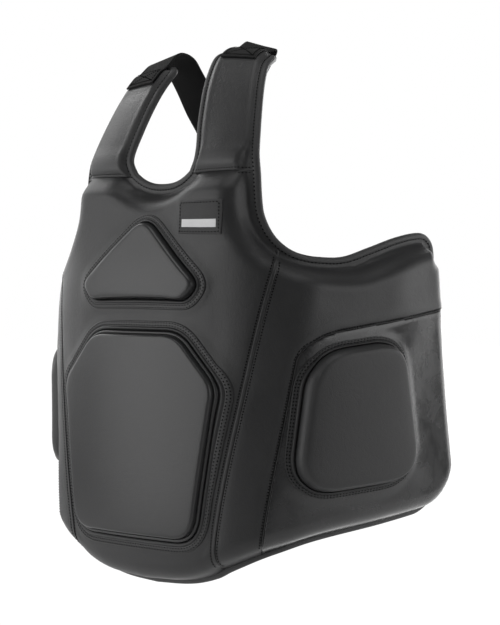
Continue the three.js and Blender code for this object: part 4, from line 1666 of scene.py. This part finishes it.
# rows of the webbings behind the straps: side, back, up and tilt in degrees
ROUTE_LEFT = (
    (58, 5, 671, 16), (52, 10, 661, 21), (46, 12, 649, 25), (37, 13, 626, 23), (28, 15, 597, 16),
    (19, 20, 563, 11), (11, 28, 530, 9), (8, 33, 500, 8),
)
ROUTE_RIGHT = (
    (68, -43, 659, 12), (68, -27, 660, 12), (68, -13, 654, 12), (67, -4, 642, 13), (62, 2, 627, 16),
    (53, 8, 604, 23), (39, 12, 580, 28), (25, 15, 550, 29), (14, 21, 521, 29), (7, 28, 500, 28),
)
# rows of the back strap: back and up
ROUTE_BACK = (
    (32.2, 482), (33.0, 455), (42, 430), (60, 400), (90, 355), (126, 308), (155, 268), (165.4, 232),
)


@dataclass
class ShoulderStrap:
    """A padded shoulder strap with its webbing.

    Attributes:
        side: Name of the wearer's side.
        sign: Minus one for the wearer's right.
        base: Base of its heights.
        tab: Where along the pattern the webbing's sewn tab starts.
        route: Rows of the free webbing.
        width: Width of the webbing.
        tuck: How far the free webbing is drawn in behind the strap.
        tuck_rows: Rows over which the tuck grows.
        tuck_last: Share of the tuck in the last rows.
        grid: Steps across and along of the padded strap's cut.
        tab_seat: How far the tab ends before the strap, and its height over it.
        box: Insets of the sewn box from the tab's start, the strap's end and the webbing's edges.
        box_stitch: Height and pitch of the box's stitches.
        seam_start: Where across the rows of the strap's seam start.
        seam_shares: First and last share of the way across that they take.
        seam_stitch: Offset and height of these rows.
    """

    side: str
    sign: int
    base: Base
    tab: float
    route: tuple[tuple[float, float, float, float], ...]
    width: float = 54.0
    tuck: float = 0.0
    tuck_rows: int = 3
    tuck_last: float = 0.4
    grid: tuple[int, int] = (26, 56)
    tab_seat: Pair = (6.0, 0.6)
    box: Triple = (4.0, 9.0, 5.0)
    box_stitch: Pair = (3.25, 3.2)
    seam_start: float = 58.0
    seam_shares: Pair = (0.08, 0.92)
    seam_stitch: Pair = (3.0, 0.2)

    @property
    def end(self) -> float:
        """Where the padded strap ends along the pattern."""
        return STRAP_ENDS[self.base]

    def middle(self, along: Array) -> Array:
        """Across of the strap's centre line."""
        return (PATTERN.neck_side(along) + PATTERN.armhole(along)) / 2

    def pad(self, finishes: Finishes) -> Piece:
        """Makes the padded strap.

        Args:
            finishes: The part's materials.

        Returns:
            The new object.
        """
        panel = PaddedPanel(f"shoulder_strap_{self.side}", self.base, *self.grid,
                            lambda s, t: PATTERN.strap_place(s, t, self.end), self.sign)
        return panel.build([finishes.strap, finishes.lining])

    def webbing(self, finishes: Finishes) -> Piece:
        """Makes the webbing from its sewn tab to the back patch.

        Args:
            finishes: The part's materials.

        Returns:
            The new object.
        """
        offsets = np.linspace(-0.5, 0.5, 9) * self.width
        sections = []
        short, seat = self.tab_seat
        for along in np.linspace(self.tab, self.end - short, 5):
            across = self.sign * (self.middle(along) + offsets)
            flat = np.stack([across, 0 * offsets + along, 0 * offsets + seat], -1)
            sections.append(wrapped(flat, self.base) / MM + np.array([0.0, *TORSO.rest]))
        for row, (side, back, up, tilt) in enumerate(self.route):
            turn = math.radians(tilt)
            wide = np.array([self.sign * math.cos(turn), 0.0, -math.sin(turn)])
            share = 1.0 if row < len(self.route) - 2 else self.tuck_last
            drawn = side - self.tuck * min(1.0, row / self.tuck_rows) * share
            sections.append(np.array([self.sign * drawn, back, up]) + offsets[:, None] * wide)
        return Ribbon(f"webbing_{self.side}", np.array(sections)).build(finishes.webbing)

    def box_stitches(self) -> list[StitchLine]:
        """A sewn box with a cross in it on the webbing's tab.

        Returns:
            The stitch rows.
        """
        from_tab, from_end, from_edge = self.box
        low, high = self.tab + from_tab, self.end - from_end
        half = self.width / 2 - from_edge

        def corner(across: float, along: float) -> Pair:
            """Pattern place of a corner of the box."""
            return self.sign * (float(self.middle(along)) + across), along

        corners = [corner(-half, low), corner(half, low), corner(half, high), corner(-half, high)]
        rows = [corners + corners[:1], [corners[0], corners[2]], [corners[1], corners[3]]]
        rise, pitch = self.box_stitch
        return [StitchLine(resample(np.array(row, float), 1.5), rise, self.base, pitch=pitch) for row in rows]

    def seam_stitches(self) -> list[StitchLine]:
        """Two rows where the strap is sewn to the body.

        Returns:
            The stitch rows.
        """
        s = np.linspace(*self.seam_shares, 24)
        offset, rise = self.seam_stitch
        rows = []
        for base, along in ((self.base, PATTERN.strap_seam + offset), (Base.BODY, PATTERN.strap_seam - offset)):
            across = self.sign * (self.seam_start + (float(PATTERN.armhole(along)) - self.seam_start) * s)
            rows.append(StitchLine(joined((across, np.full_like(s, along))), rise, base))
        return rows


STRAPS = (
    ShoulderStrap("left", 1, Base.STRAP_LEFT, 664.0, ROUTE_LEFT, tuck=16.0),
    ShoulderStrap("right", -1, Base.STRAP_RIGHT, 630.0, ROUTE_RIGHT),
)
CHEST = PadOutline(((0, 467, 44), (111, 366, 30), (79, 335, 30), (-79, 335, 30), (-111, 366, 30)))
BELLY = PadOutline(((74, 321, 58), (136, 250, 54), (110, 46, 50), (-110, 46, 50), (-136, 250, 54),
                    (-74, 321, 58)), 300)
SIDE = PadOutline(((182, 294, 62), (310, 311, 54), (360, 124, 54), (174, 108, 54)), narrow=0.7)
PATTERN.wells = [CHEST, BELLY, SIDE, SIDE.mirrored()]


@dataclass
class Body:
    """The padded front and the two wings with their glossy covers.

    Attributes:
        front_grid: Steps across and along of the front's cut.
        wing_grid: Steps across and along of a wing's cut.
        wing_crowd: How the wing's columns crowd towards its rear edge.
        fill: How tight the padding is; not used.
        seam_fold: Half width, half height, place outside and height over the body of the seam's fold.
        sewn_joint: The same of a cover's sewn joint.
        fold_sides: Points round their sections.
        fold_clear: Clearance of the seam's fold at its ends.
        joint_ends: Lowest along and furthest across of a cover's joint.
        stitched: Lowest and highest place of the side seam's stitches.
        stitch_offsets: Offsets of their rows from the seam.
        cover_offset: Offset of the cover's row from its joint.
        stitch_rise: Height of the stitches over the body.
    """

    front_grid: tuple[int, int] = (72, 104)
    wing_grid: tuple[int, int] = (64, 78)
    wing_crowd: float = 1.25
    fill: float = 0.9
    seam_fold: tuple[float, ...] = (1.7, 1.3, 0.0, 0.35)
    sewn_joint: tuple[float, ...] = (0.5, 0.45, 0.0, 0.0)
    fold_sides: int = 8
    fold_clear: float = 4.0
    joint_ends: Pair = (54.0, 384.0)
    stitched: Pair = (32.0, 400.0)
    stitch_offsets: Pair = (-3.3, 3.3)
    cover_offset: float = -1.9
    stitch_rise: float = 0.25

    def build(self, finishes: Finishes) -> None:
        """Makes the front panel, the side panels and the side covers.

        Args:
            finishes: The part's materials.
        """
        def front_cut(s: Array, t: Array) -> Places:
            """Places of the front panel's cut."""
            return PATTERN.front_cut(2 * s - 1, t, PaddedPanel.JOIN)

        def wing_cut(s: Array, t: Array) -> Places:
            """Places of a wing's cut."""
            return PATTERN.wing_cut(1 - (1 - s)**self.wing_crowd, t, PaddedPanel.JOIN)

        front = PaddedPanel("front_panel", Base.BODY, *self.front_grid, front_cut)
        finish_piece(front.build([finishes.leather, finishes.lining]), ["front_panel"])
        kinds = (("panel", "leather", finishes.leather), ("cover", "gloss_leather", finishes.gloss))
        for side, sign in SIDES:
            for kind, slot, material in kinds:
                name = f"side_{kind}_{side}"
                piece = PaddedPanel(name, Base.BODY, *self.wing_grid, wing_cut, sign, kind == "cover")
                finish_piece(piece.build([material, finishes.lining]), [name])

    def folds(self, finishes: Finishes) -> None:
        """Makes the fold that stands up along each side seam and the sewn joint of each cover.

        Args:
            finishes: The part's materials.
        """
        along = np.linspace(PATTERN.seam_foot + self.fold_clear, PATTERN.seam_top - self.fold_clear, 90)
        seam = joined((PATTERN.front_side(along), along))
        for side, sign in SIDES:
            for name, line, section in ((f"side_seam_fold_{side}", seam, self.seam_fold),
                                        (f"cover_joint_{side}", self.cover_joint(), self.sewn_joint)):
                *form, middle = section
                fold = EdgeTape(name, line * np.array([sign, 1]), *form, Base.BODY, middle)
                finish_piece(fold.build(finishes.leather, sides=self.fold_sides))

    def cover_joint(self) -> Array:
        """The line along which a side cover is sewn down, clear of the free edges."""
        line, (low, end) = PATTERN.cover_line, self.joint_ends
        return line[(line[:, 1] > low) & (line[:, 0] < end)]

    def seams(self) -> list[StitchLine]:
        """Stitch rows along the side seams and the covers' edges.

        Returns:
            The stitch rows.
        """
        along = np.linspace(*self.stitched, 90)
        lines = [joined((PATTERN.front_side(along) + offset, along)) for offset in self.stitch_offsets]
        cover = self.cover_joint()
        lines.append(cover + sideways(cover) * self.cover_offset)
        return [StitchLine(line * np.array([sign, 1]), self.stitch_rise, Base.BODY)
                for _, sign in SIDES for line in lines]


@dataclass
class Bindings:
    """Tapes along every free edge.

    Attributes:
        hem_turn: Share of the rear edge that the hem's tape runs on over.
        rear_start: Share of the rear edge where the side's tape starts.
        strap_turn: Share of a strap's end that the side's tape runs on over.
        neck_start: Share of a strap's end where the neck's tape starts.
        tapes: The tapes by name.
    """

    hem_turn: float = 0.026
    rear_start: float = 0.018
    strap_turn: float = 0.09
    neck_start: float = 0.95
    tapes: dict[str, EdgeTape] = field(default_factory=dict)

    def __post_init__(self) -> None:
        """Works out the edges."""
        up = np.linspace(0, 1, 121)
        one = np.ones_like(up)
        few, turn = one[::15], up[::15]
        hem = joined(PATTERN.front_place(up, 0 * up), PATTERN.wing_place(up, 0 * up),
                     PATTERN.wing_place(few, self.hem_turn * turn))
        edges = {"hem_binding": np.concatenate([mirrored_line(hem), hem])}
        armhole = PATTERN.armhole_start + (1 - PATTERN.armhole_start) * up
        rear = self.rear_start + (1 - self.rear_start) * up
        inner = []
        for strap in STRAPS:
            side = joined(PATTERN.wing_place(one, rear), PATTERN.wing_place(1 - up, one),
                          PATTERN.front_place(one, armhole), PATTERN.strap_place(one, up, strap.end),
                          PATTERN.strap_place(1 - self.strap_turn * turn, few, strap.end))
            edge = joined(PATTERN.strap_place(self.neck_start * (1 - up), one, strap.end),
                          PATTERN.strap_place(0 * up, 1 - up, strap.end))
            if strap.sign < 0:
                side, edge = mirrored_line(side), mirrored_line(edge)
            edges[f"side_binding_{strap.side}"] = side
            inner.append(edge)
        across = -np.linspace(-1, 1, 81) * PATTERN.neck_end
        scoop = joined(PATTERN.front_place(across, np.ones_like(across)))
        edges["neck_binding"] = np.concatenate([inner[0], scoop, inner[1]])
        self.tapes = {name: EdgeTape(name, line) for name, line in edges.items()}

    def build(self, finishes: Finishes) -> None:
        """Makes the tapes."""
        for name, tape in self.tapes.items():
            finish_piece(tape.build(finishes.tape), [name])

    def seams(self) -> list[StitchLine]:
        """Stitch rows of all tapes."""
        return [tape.seam() for tape in self.tapes.values()]


@dataclass
class Label:
    """A plain sewn patch with a pale bar.

    Attributes:
        low: Lowest across and along.
        high: Highest across and along.
        bar: Shares across and along that the bar covers: low, high, bottom and top.
        patch_section: Foot over the body and thickness of the patch.
        bar_section: The same of the bar.
        patch_grid: Steps across and along of the patch.
        bar_grid: The same of the bar.
        rolled: Least turn in radians of an edge that is rounded, and by how much.
        stitches: Inset, height and pitch of the stitches.
    """

    low: Pair = (57.0, 427.0)
    high: Pair = (117.0, 469.0)
    bar: tuple[float, float, float, float] = (0.1, 0.9, 0.2, 0.44)
    patch_section: Pair = (-0.4, 1.7)
    bar_section: Pair = (1.1, 0.7)
    patch_grid: tuple[int, int] = (18, 14)
    bar_grid: tuple[int, int] = (16, 6)
    rolled: Pair = (1.2, 0.5)
    stitches: Triple = (2.9, 1.55, 4.2)

    def distance(self, across: Array, along: Array) -> Array:
        """How far outside the patch each place lies, below zero inside it."""
        (left, bottom), (right, top) = self.low, self.high
        return np.maximum(np.maximum(left - across, across - right), np.maximum(bottom - along, along - top))

    def plate(self, name: str, low: Pair, high: Pair, section: Pair, grid: tuple[int, int],
              finish: Material) -> Piece:
        """A thin plate on the body with rolled edges.

        Args:
            name: Name of the piece.
            low: Lowest across and along.
            high: Highest across and along.
            section: Its foot over the body and its thickness.
            grid: Steps across and along.
            finish: Finish of the plate.

        Returns:
            The new object.
        """
        foot, thick = section
        bm, s, t = flat_grid(*grid)
        across, along = low[0] + (high[0] - low[0]) * s, low[1] + (high[1] - low[1]) * t
        write_verts(bm, np.stack([across, along, 0 * s + foot], -1))
        thicken(bm, thick)
        lay_uv(bm)
        roll_edges(bm, *self.rolled)
        write_verts(bm, wrapped(read_verts(bm), Base.BODY))
        return mesh_object(bm, name, [finish])

    def build(self, finishes: Finishes) -> None:
        """Makes the patch and its bar.

        Args:
            finishes: The part's materials.
        """
        patch = self.plate("label_patch", self.low, self.high, self.patch_section, self.patch_grid,
                           finishes.label)
        finish_piece(patch, ["label_patch"])
        wide, tall = self.high[0] - self.low[0], self.high[1] - self.low[1]
        left, right, bottom, top = self.bar
        low = (self.low[0] + wide * left, self.low[1] + tall * bottom)
        high = (self.low[0] + wide * right, self.low[1] + tall * top)
        bar = self.plate("label_bar", low, high, self.bar_section, self.bar_grid, finishes.bar)
        finish_piece(bar)

    def seams(self) -> list[StitchLine]:
        """Stitches round the patch.

        Returns:
            The stitch rows.
        """
        inset, rise, pitch = self.stitches
        left, right = self.low[0] + inset, self.high[0] - inset
        bottom, top = self.low[1] + inset, self.high[1] - inset
        corners = [(left, bottom), (right, bottom), (right, top), (left, top)]
        line = resample(np.array(corners + corners[:1], float), 1.0)
        return [StitchLine(line, rise, Base.BODY, pitch=pitch)]


@dataclass
class BackHarness:
    """The webbing behind the wearer: a patch, a back strap and a waist strap.

    Attributes:
        patch_radius: Radius of the eight-sided patch.
        patch_thick: Thickness of the patch.
        patch_place: Back and up of its middle.
        strap_width: Width of the back strap.
        waist: Lowest and highest place of the waist strap.
        lap: How far it reaches inside the rear edges.
        sag: How far it bows out behind.
        seat: How far inside the lining it lies.
        rear_height: Height of the rear edge of a wing.
        strap_back: How far the back strap's skin lies behind its route.
        rim: Width and depth of the patch's rim.
        groove: Width and depth of the groove inside it.
        rolled: Least turn in radians of an edge that is rounded, by how much and in how many steps.
    """

    patch_radius: float = 31.0
    patch_thick: float = 3.0
    patch_place: Pair = (35.8, 487.0)
    strap_width: float = 50.0
    waist: Pair = (208.0, 266.0)
    lap: float = 34.0
    sag: float = 24.0
    seat: float = 2.6
    rear_height: float = 427.0
    strap_back: float = 1.2
    rim: Pair = (3.5, 0.0)
    groove: Pair = (1.5, -0.5)
    rolled: tuple[float, float, int] = (0.6, 0.9, 3)

    def build(self, finishes: Finishes) -> None:
        """Makes the three pieces.

        Args:
            finishes: The part's materials.
        """
        finish_piece(self.patch(finishes.leather), ["back_patch"])
        wide = np.linspace(-0.5, 0.5, 7) * self.strap_width
        rows = np.array([[(x, back + self.strap_back, up) for x in wide] for back, up in ROUTE_BACK], float)
        finish_piece(Ribbon("back_strap", rows).build(finishes.webbing), ["back_strap"])
        finish_piece(self.waist_strap(finishes), ["waist_strap"])

    def patch(self, finish: Material) -> Piece:
        """Makes the eight-sided patch with a rolled rim.

        Args:
            finish: Finish of the patch.

        Returns:
            The new object.
        """
        bm = bmesh.new()
        turn = Matrix.Rotation(math.pi / 8, 4, "Z")
        bmesh.ops.create_circle(bm, cap_ends=True, segments=8, radius=self.patch_radius, matrix=turn)
        top = set(thicken(bm, self.patch_thick))
        cap = [f for f in bm.faces if all(v in top for v in f.verts)]
        for width, depth in (self.rim, self.groove):
            bmesh.ops.inset_region(bm, faces=cap, thickness=width, depth=depth)
        lay_uv(bm)
        roll_edges(bm, *self.rolled)
        flat = read_verts(bm)
        back, up = self.patch_place
        write_verts(bm, TORSO.placed(np.stack([flat[:, 0], back + flat[:, 2], up + flat[:, 1]], -1)))
        return mesh_object(bm, "back_patch", [finish], smooth=False)

    def waist_strap(self, finishes: Finishes) -> Piece:
        """Makes the strap that joins the wings behind the back.

        Args:
            finishes: The part's materials.

        Returns:
            The new object.
        """
        middle = sum(self.waist) / 2
        low, high = PATTERN.rear
        edge = low + (high - low) * middle / self.rear_height
        place = np.array([edge - self.lap, edge - self.lap / 2, edge]), np.full(3, middle)
        inside = TORSO.lining(*place) - TORSO.normal(*place) * self.seat
        turn = np.linspace(0, math.pi, 25)[1:-1]
        leave = inside[-1]
        bow = np.stack([leave[0] * np.cos(turn), leave[1] + self.sag * np.sin(turn), 0 * turn + middle], -1)
        line = np.concatenate([inside, bow, (inside * np.array([-1, 1, 1]))[::-1]])
        tall = np.linspace(self.waist[0], self.waist[1], 7) - middle
        sections = line[:, None, :] + tall[None, :, None] * np.array([0, 0, 1.0])
        return Ribbon("waist_strap", sections).build(finishes.webbing)


@dataclass
class Studio:
    """Floor, backdrop, lights and the photograph's camera.

    Attributes:
        azimuth: Degrees of the camera round the part.
        elevation: Degrees of the camera over the horizon.
        distance: Metres from the aimed place.
        shift: Metres to the right of the part's middle that the camera aims.
        height: Height that the camera aims at, in the part's frame.
        lens: Focal length in millimetres.
        sensor: Long side of the picture in millimetres.
        depth: How far behind the shoulder rest the camera aims.
        floor: Height of the floor, in the part's frame.
        glow: Brightness of the floor as the camera sees it.
        room_light: Strength of the light that comes from all round.
    """

    azimuth: float = 42.0
    elevation: float = 1.0
    distance: float = 2.3
    shift: float = 0.032
    height: float = -0.332
    lens: float = 101.8
    sensor: float = 36.0
    depth: float = 0.013
    floor: float = -0.98
    glow: float = 1.06
    room_light: float = 0.22

    def axes(self) -> tuple[Vector, Vector, Vector]:
        """Right, up and back directions of the camera.

        Returns:
            The three unit directions.
        """
        a, e = math.radians(self.azimuth), math.radians(self.elevation)
        back = Vector((math.sin(a) * math.cos(e), -math.cos(a) * math.cos(e), math.sin(e)))
        right = Vector((math.cos(a), math.sin(a), 0))
        return right, back.cross(right), back

    def build(self) -> None:
        """Makes the whole stage."""
        self.camera()
        self.backdrop()
        self.lights()

    def camera(self) -> None:
        """Places the camera."""
        right, up, back = self.axes()
        data = bpy.data.cameras.new("photo_camera")
        data.lens = self.lens
        data.sensor_width = self.sensor
        data.clip_start, data.clip_end = 0.05, 60.0
        camera = bpy.data.objects.new("photo_camera", data)
        turn = Matrix((right, up, back)).transposed().to_4x4()
        aim = right * self.shift + Vector((0, self.depth, self.height))
        camera.matrix_world = Matrix.Translation(aim + back * self.distance) @ turn
        bpy.context.scene.collection.objects.link(camera)
        bpy.context.scene.camera = camera

    def backdrop(self) -> None:
        """A pale floor that the object hangs over, in a pale room that lights it only a little."""
        material, graph, shader = new_material("pale_floor")
        place = graph.add("ShaderNodeTexCoord").outputs["Object"]
        noise = graph.add("ShaderNodeTexNoise", {"Vector": place, "Scale": 3.0, "Detail": 3.0})
        tint = graph.add("ShaderNodeMix", {"Factor": noise.outputs["Fac"], "A": (0.86, 0.86, 0.86, 1),
                                           "B": (0.9, 0.9, 0.9, 1)}, data_type="RGBA")
        wire(graph, shader, {"Base Color": tint.outputs["Result"]})
        shader.inputs["Roughness"].default_value = 0.9
        glow = graph.add("ShaderNodeEmission", {"Color": (1, 1, 1, 1), "Strength": self.glow})
        seen = graph.add("ShaderNodeLightPath").outputs["Is Camera Ray"]
        mixed = graph.add("ShaderNodeMixShader", {0: seen, 1: shader.outputs["BSDF"], 2: glow.outputs[0]})
        graph.tree.links.new(mixed.outputs[0], graph.tree.nodes["Material Output"].inputs["Surface"])
        bm = bmesh.new()
        bmesh.ops.create_grid(bm, x_segments=8, y_segments=8, size=14.0,
                              matrix=Matrix.Translation((0, 0, self.floor)))
        floor = mesh_object(bm, "floor", [material], closed=False)
        world = bpy.data.worlds.new("pale_room")
        world.use_nodes = True
        room = Graph(world.node_tree)
        path = room.add("ShaderNodeLightPath").outputs["Is Camera Ray"]
        strength = room.math("MULTIPLY_ADD", path, 1.0 - self.room_light, self.room_light)
        sky = world.node_tree.nodes["Background"]
        sky.inputs["Color"].default_value = (1, 1, 1, 1)
        world.node_tree.links.new(strength, sky.inputs["Strength"])
        bpy.context.scene.world = world
        bpy.context.scene.view_settings.view_transform = "Standard"

    def lights(self) -> None:
        """Soft boxes round the part, each with its place, its size in metres and its power in watts."""
        right, up, back = self.axes()
        aim = Vector((0, 0, self.height))
        boxes = (
            ("key_box", right * -2.2 + up * 0.35 + back * 0.7, 2.2, 37.0),
            ("top_box", up * 2.3 + back * 0.5, 1.6, 18.0),
            ("fill_box", right * 2.1 + up * 0.5 + back * 0.8, 2.0, 25.0),
            ("left_rim_box", right * -1.7 + up * 0.4 + back * -1.2, 1.5, 11.0),
            ("strap_box", right * -1.4 + up * 1.5 + back * -1.35, 0.9, 14.0),
            ("back_box", right * -0.7 + up * 0.2 + back * -2.2, 1.2, 9.0),
            ("side_box", right * 2.2 + up * 0.2 + back * -1.0, 1.6, 17.0),
            ("right_rim_box", right * 1.0 + up * 0.3 + back * -2.2, 2.2, 50.0),
        )
        for name, offset, size, power in boxes:
            data = bpy.data.lights.new(name, "AREA")
            data.shape = "DISK"
            data.size = size
            data.energy = power
            light = bpy.data.objects.new(name, data)
            light.visible_camera = False
            place = aim + offset
            turn = (aim - place).to_track_quat("-Z", "Y").to_matrix().to_4x4()
            light.matrix_world = Matrix.Translation(place) @ turn
            bpy.context.scene.collection.objects.link(light)


PADS = (
    RaisedPad("chest_pad", CHEST, 12.5, PadEdge.CRISP),
    RaisedPad("belly_pad", BELLY, 12.5, PadEdge.STEPPED),
    RaisedPad("side_pad_left", SIDE, 21.0, PadEdge.SOFT),
    RaisedPad("side_pad_right", SIDE.mirrored(), 21.0, PadEdge.SOFT),
)
LABEL_STITCH = (2.3, 1.2, 1.0)
BINDING_STITCH = (2.4, 1.4, 1.3)


def sew(finishes: Finishes, name: str, *rest: object) -> None:
    """Makes one group of stitch rows as a piece of its own."""
    finish_piece(Stitching(name, *rest).build(finishes.thread))


def build_pads(finishes: Finishes) -> None:
    """Makes every raised pad with its welt and its thread.

    Args:
        finishes: The part's materials.
    """
    for pad in PADS:
        finish = finishes.soft if pad.edge is PadEdge.SOFT else finishes.moulded
        block, welt = pad.build(finish, finishes.leather)
        finish_piece(block, [block.name.removesuffix("_sewn")])
        finish_piece(welt, [welt.name.removesuffix("_sewn")])
        sew(finishes, f"{pad.name}_stitching", pad.seams())


def build_straps(finishes: Finishes) -> None:
    """Makes both shoulder straps with their webbing and thread.

    Args:
        finishes: The part's materials.
    """
    for strap in STRAPS:
        finish_piece(strap.pad(finishes), [f"shoulder_strap_{strap.side}"])
        finish_piece(strap.webbing(finishes), [f"webbing_{strap.side}"])
        sew(finishes, f"strap_stitching_{strap.side}", strap.box_stitches() + strap.seam_stitches())


def main() -> None:
    """Builds and dresses every sub-assembly in order."""
    logging.basicConfig(level=logging.INFO, format="%(name)s %(message)s")
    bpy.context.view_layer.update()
    Studio().build()
    finishes = Finishes()
    body, bindings, label = Body(), Bindings(), Label()
    body.build(finishes)
    body.folds(finishes)
    bindings.build(finishes)
    build_pads(finishes)
    build_straps(finishes)
    label.build(finishes)
    sew(finishes, "label_stitching", label.seams(), LABEL_STITCH)
    sew(finishes, "binding_stitching", bindings.seams(), BINDING_STITCH)
    sew(finishes, "seam_stitching", body.seams())
    BackHarness().build(finishes)


if __name__ == "__main__":
    main()
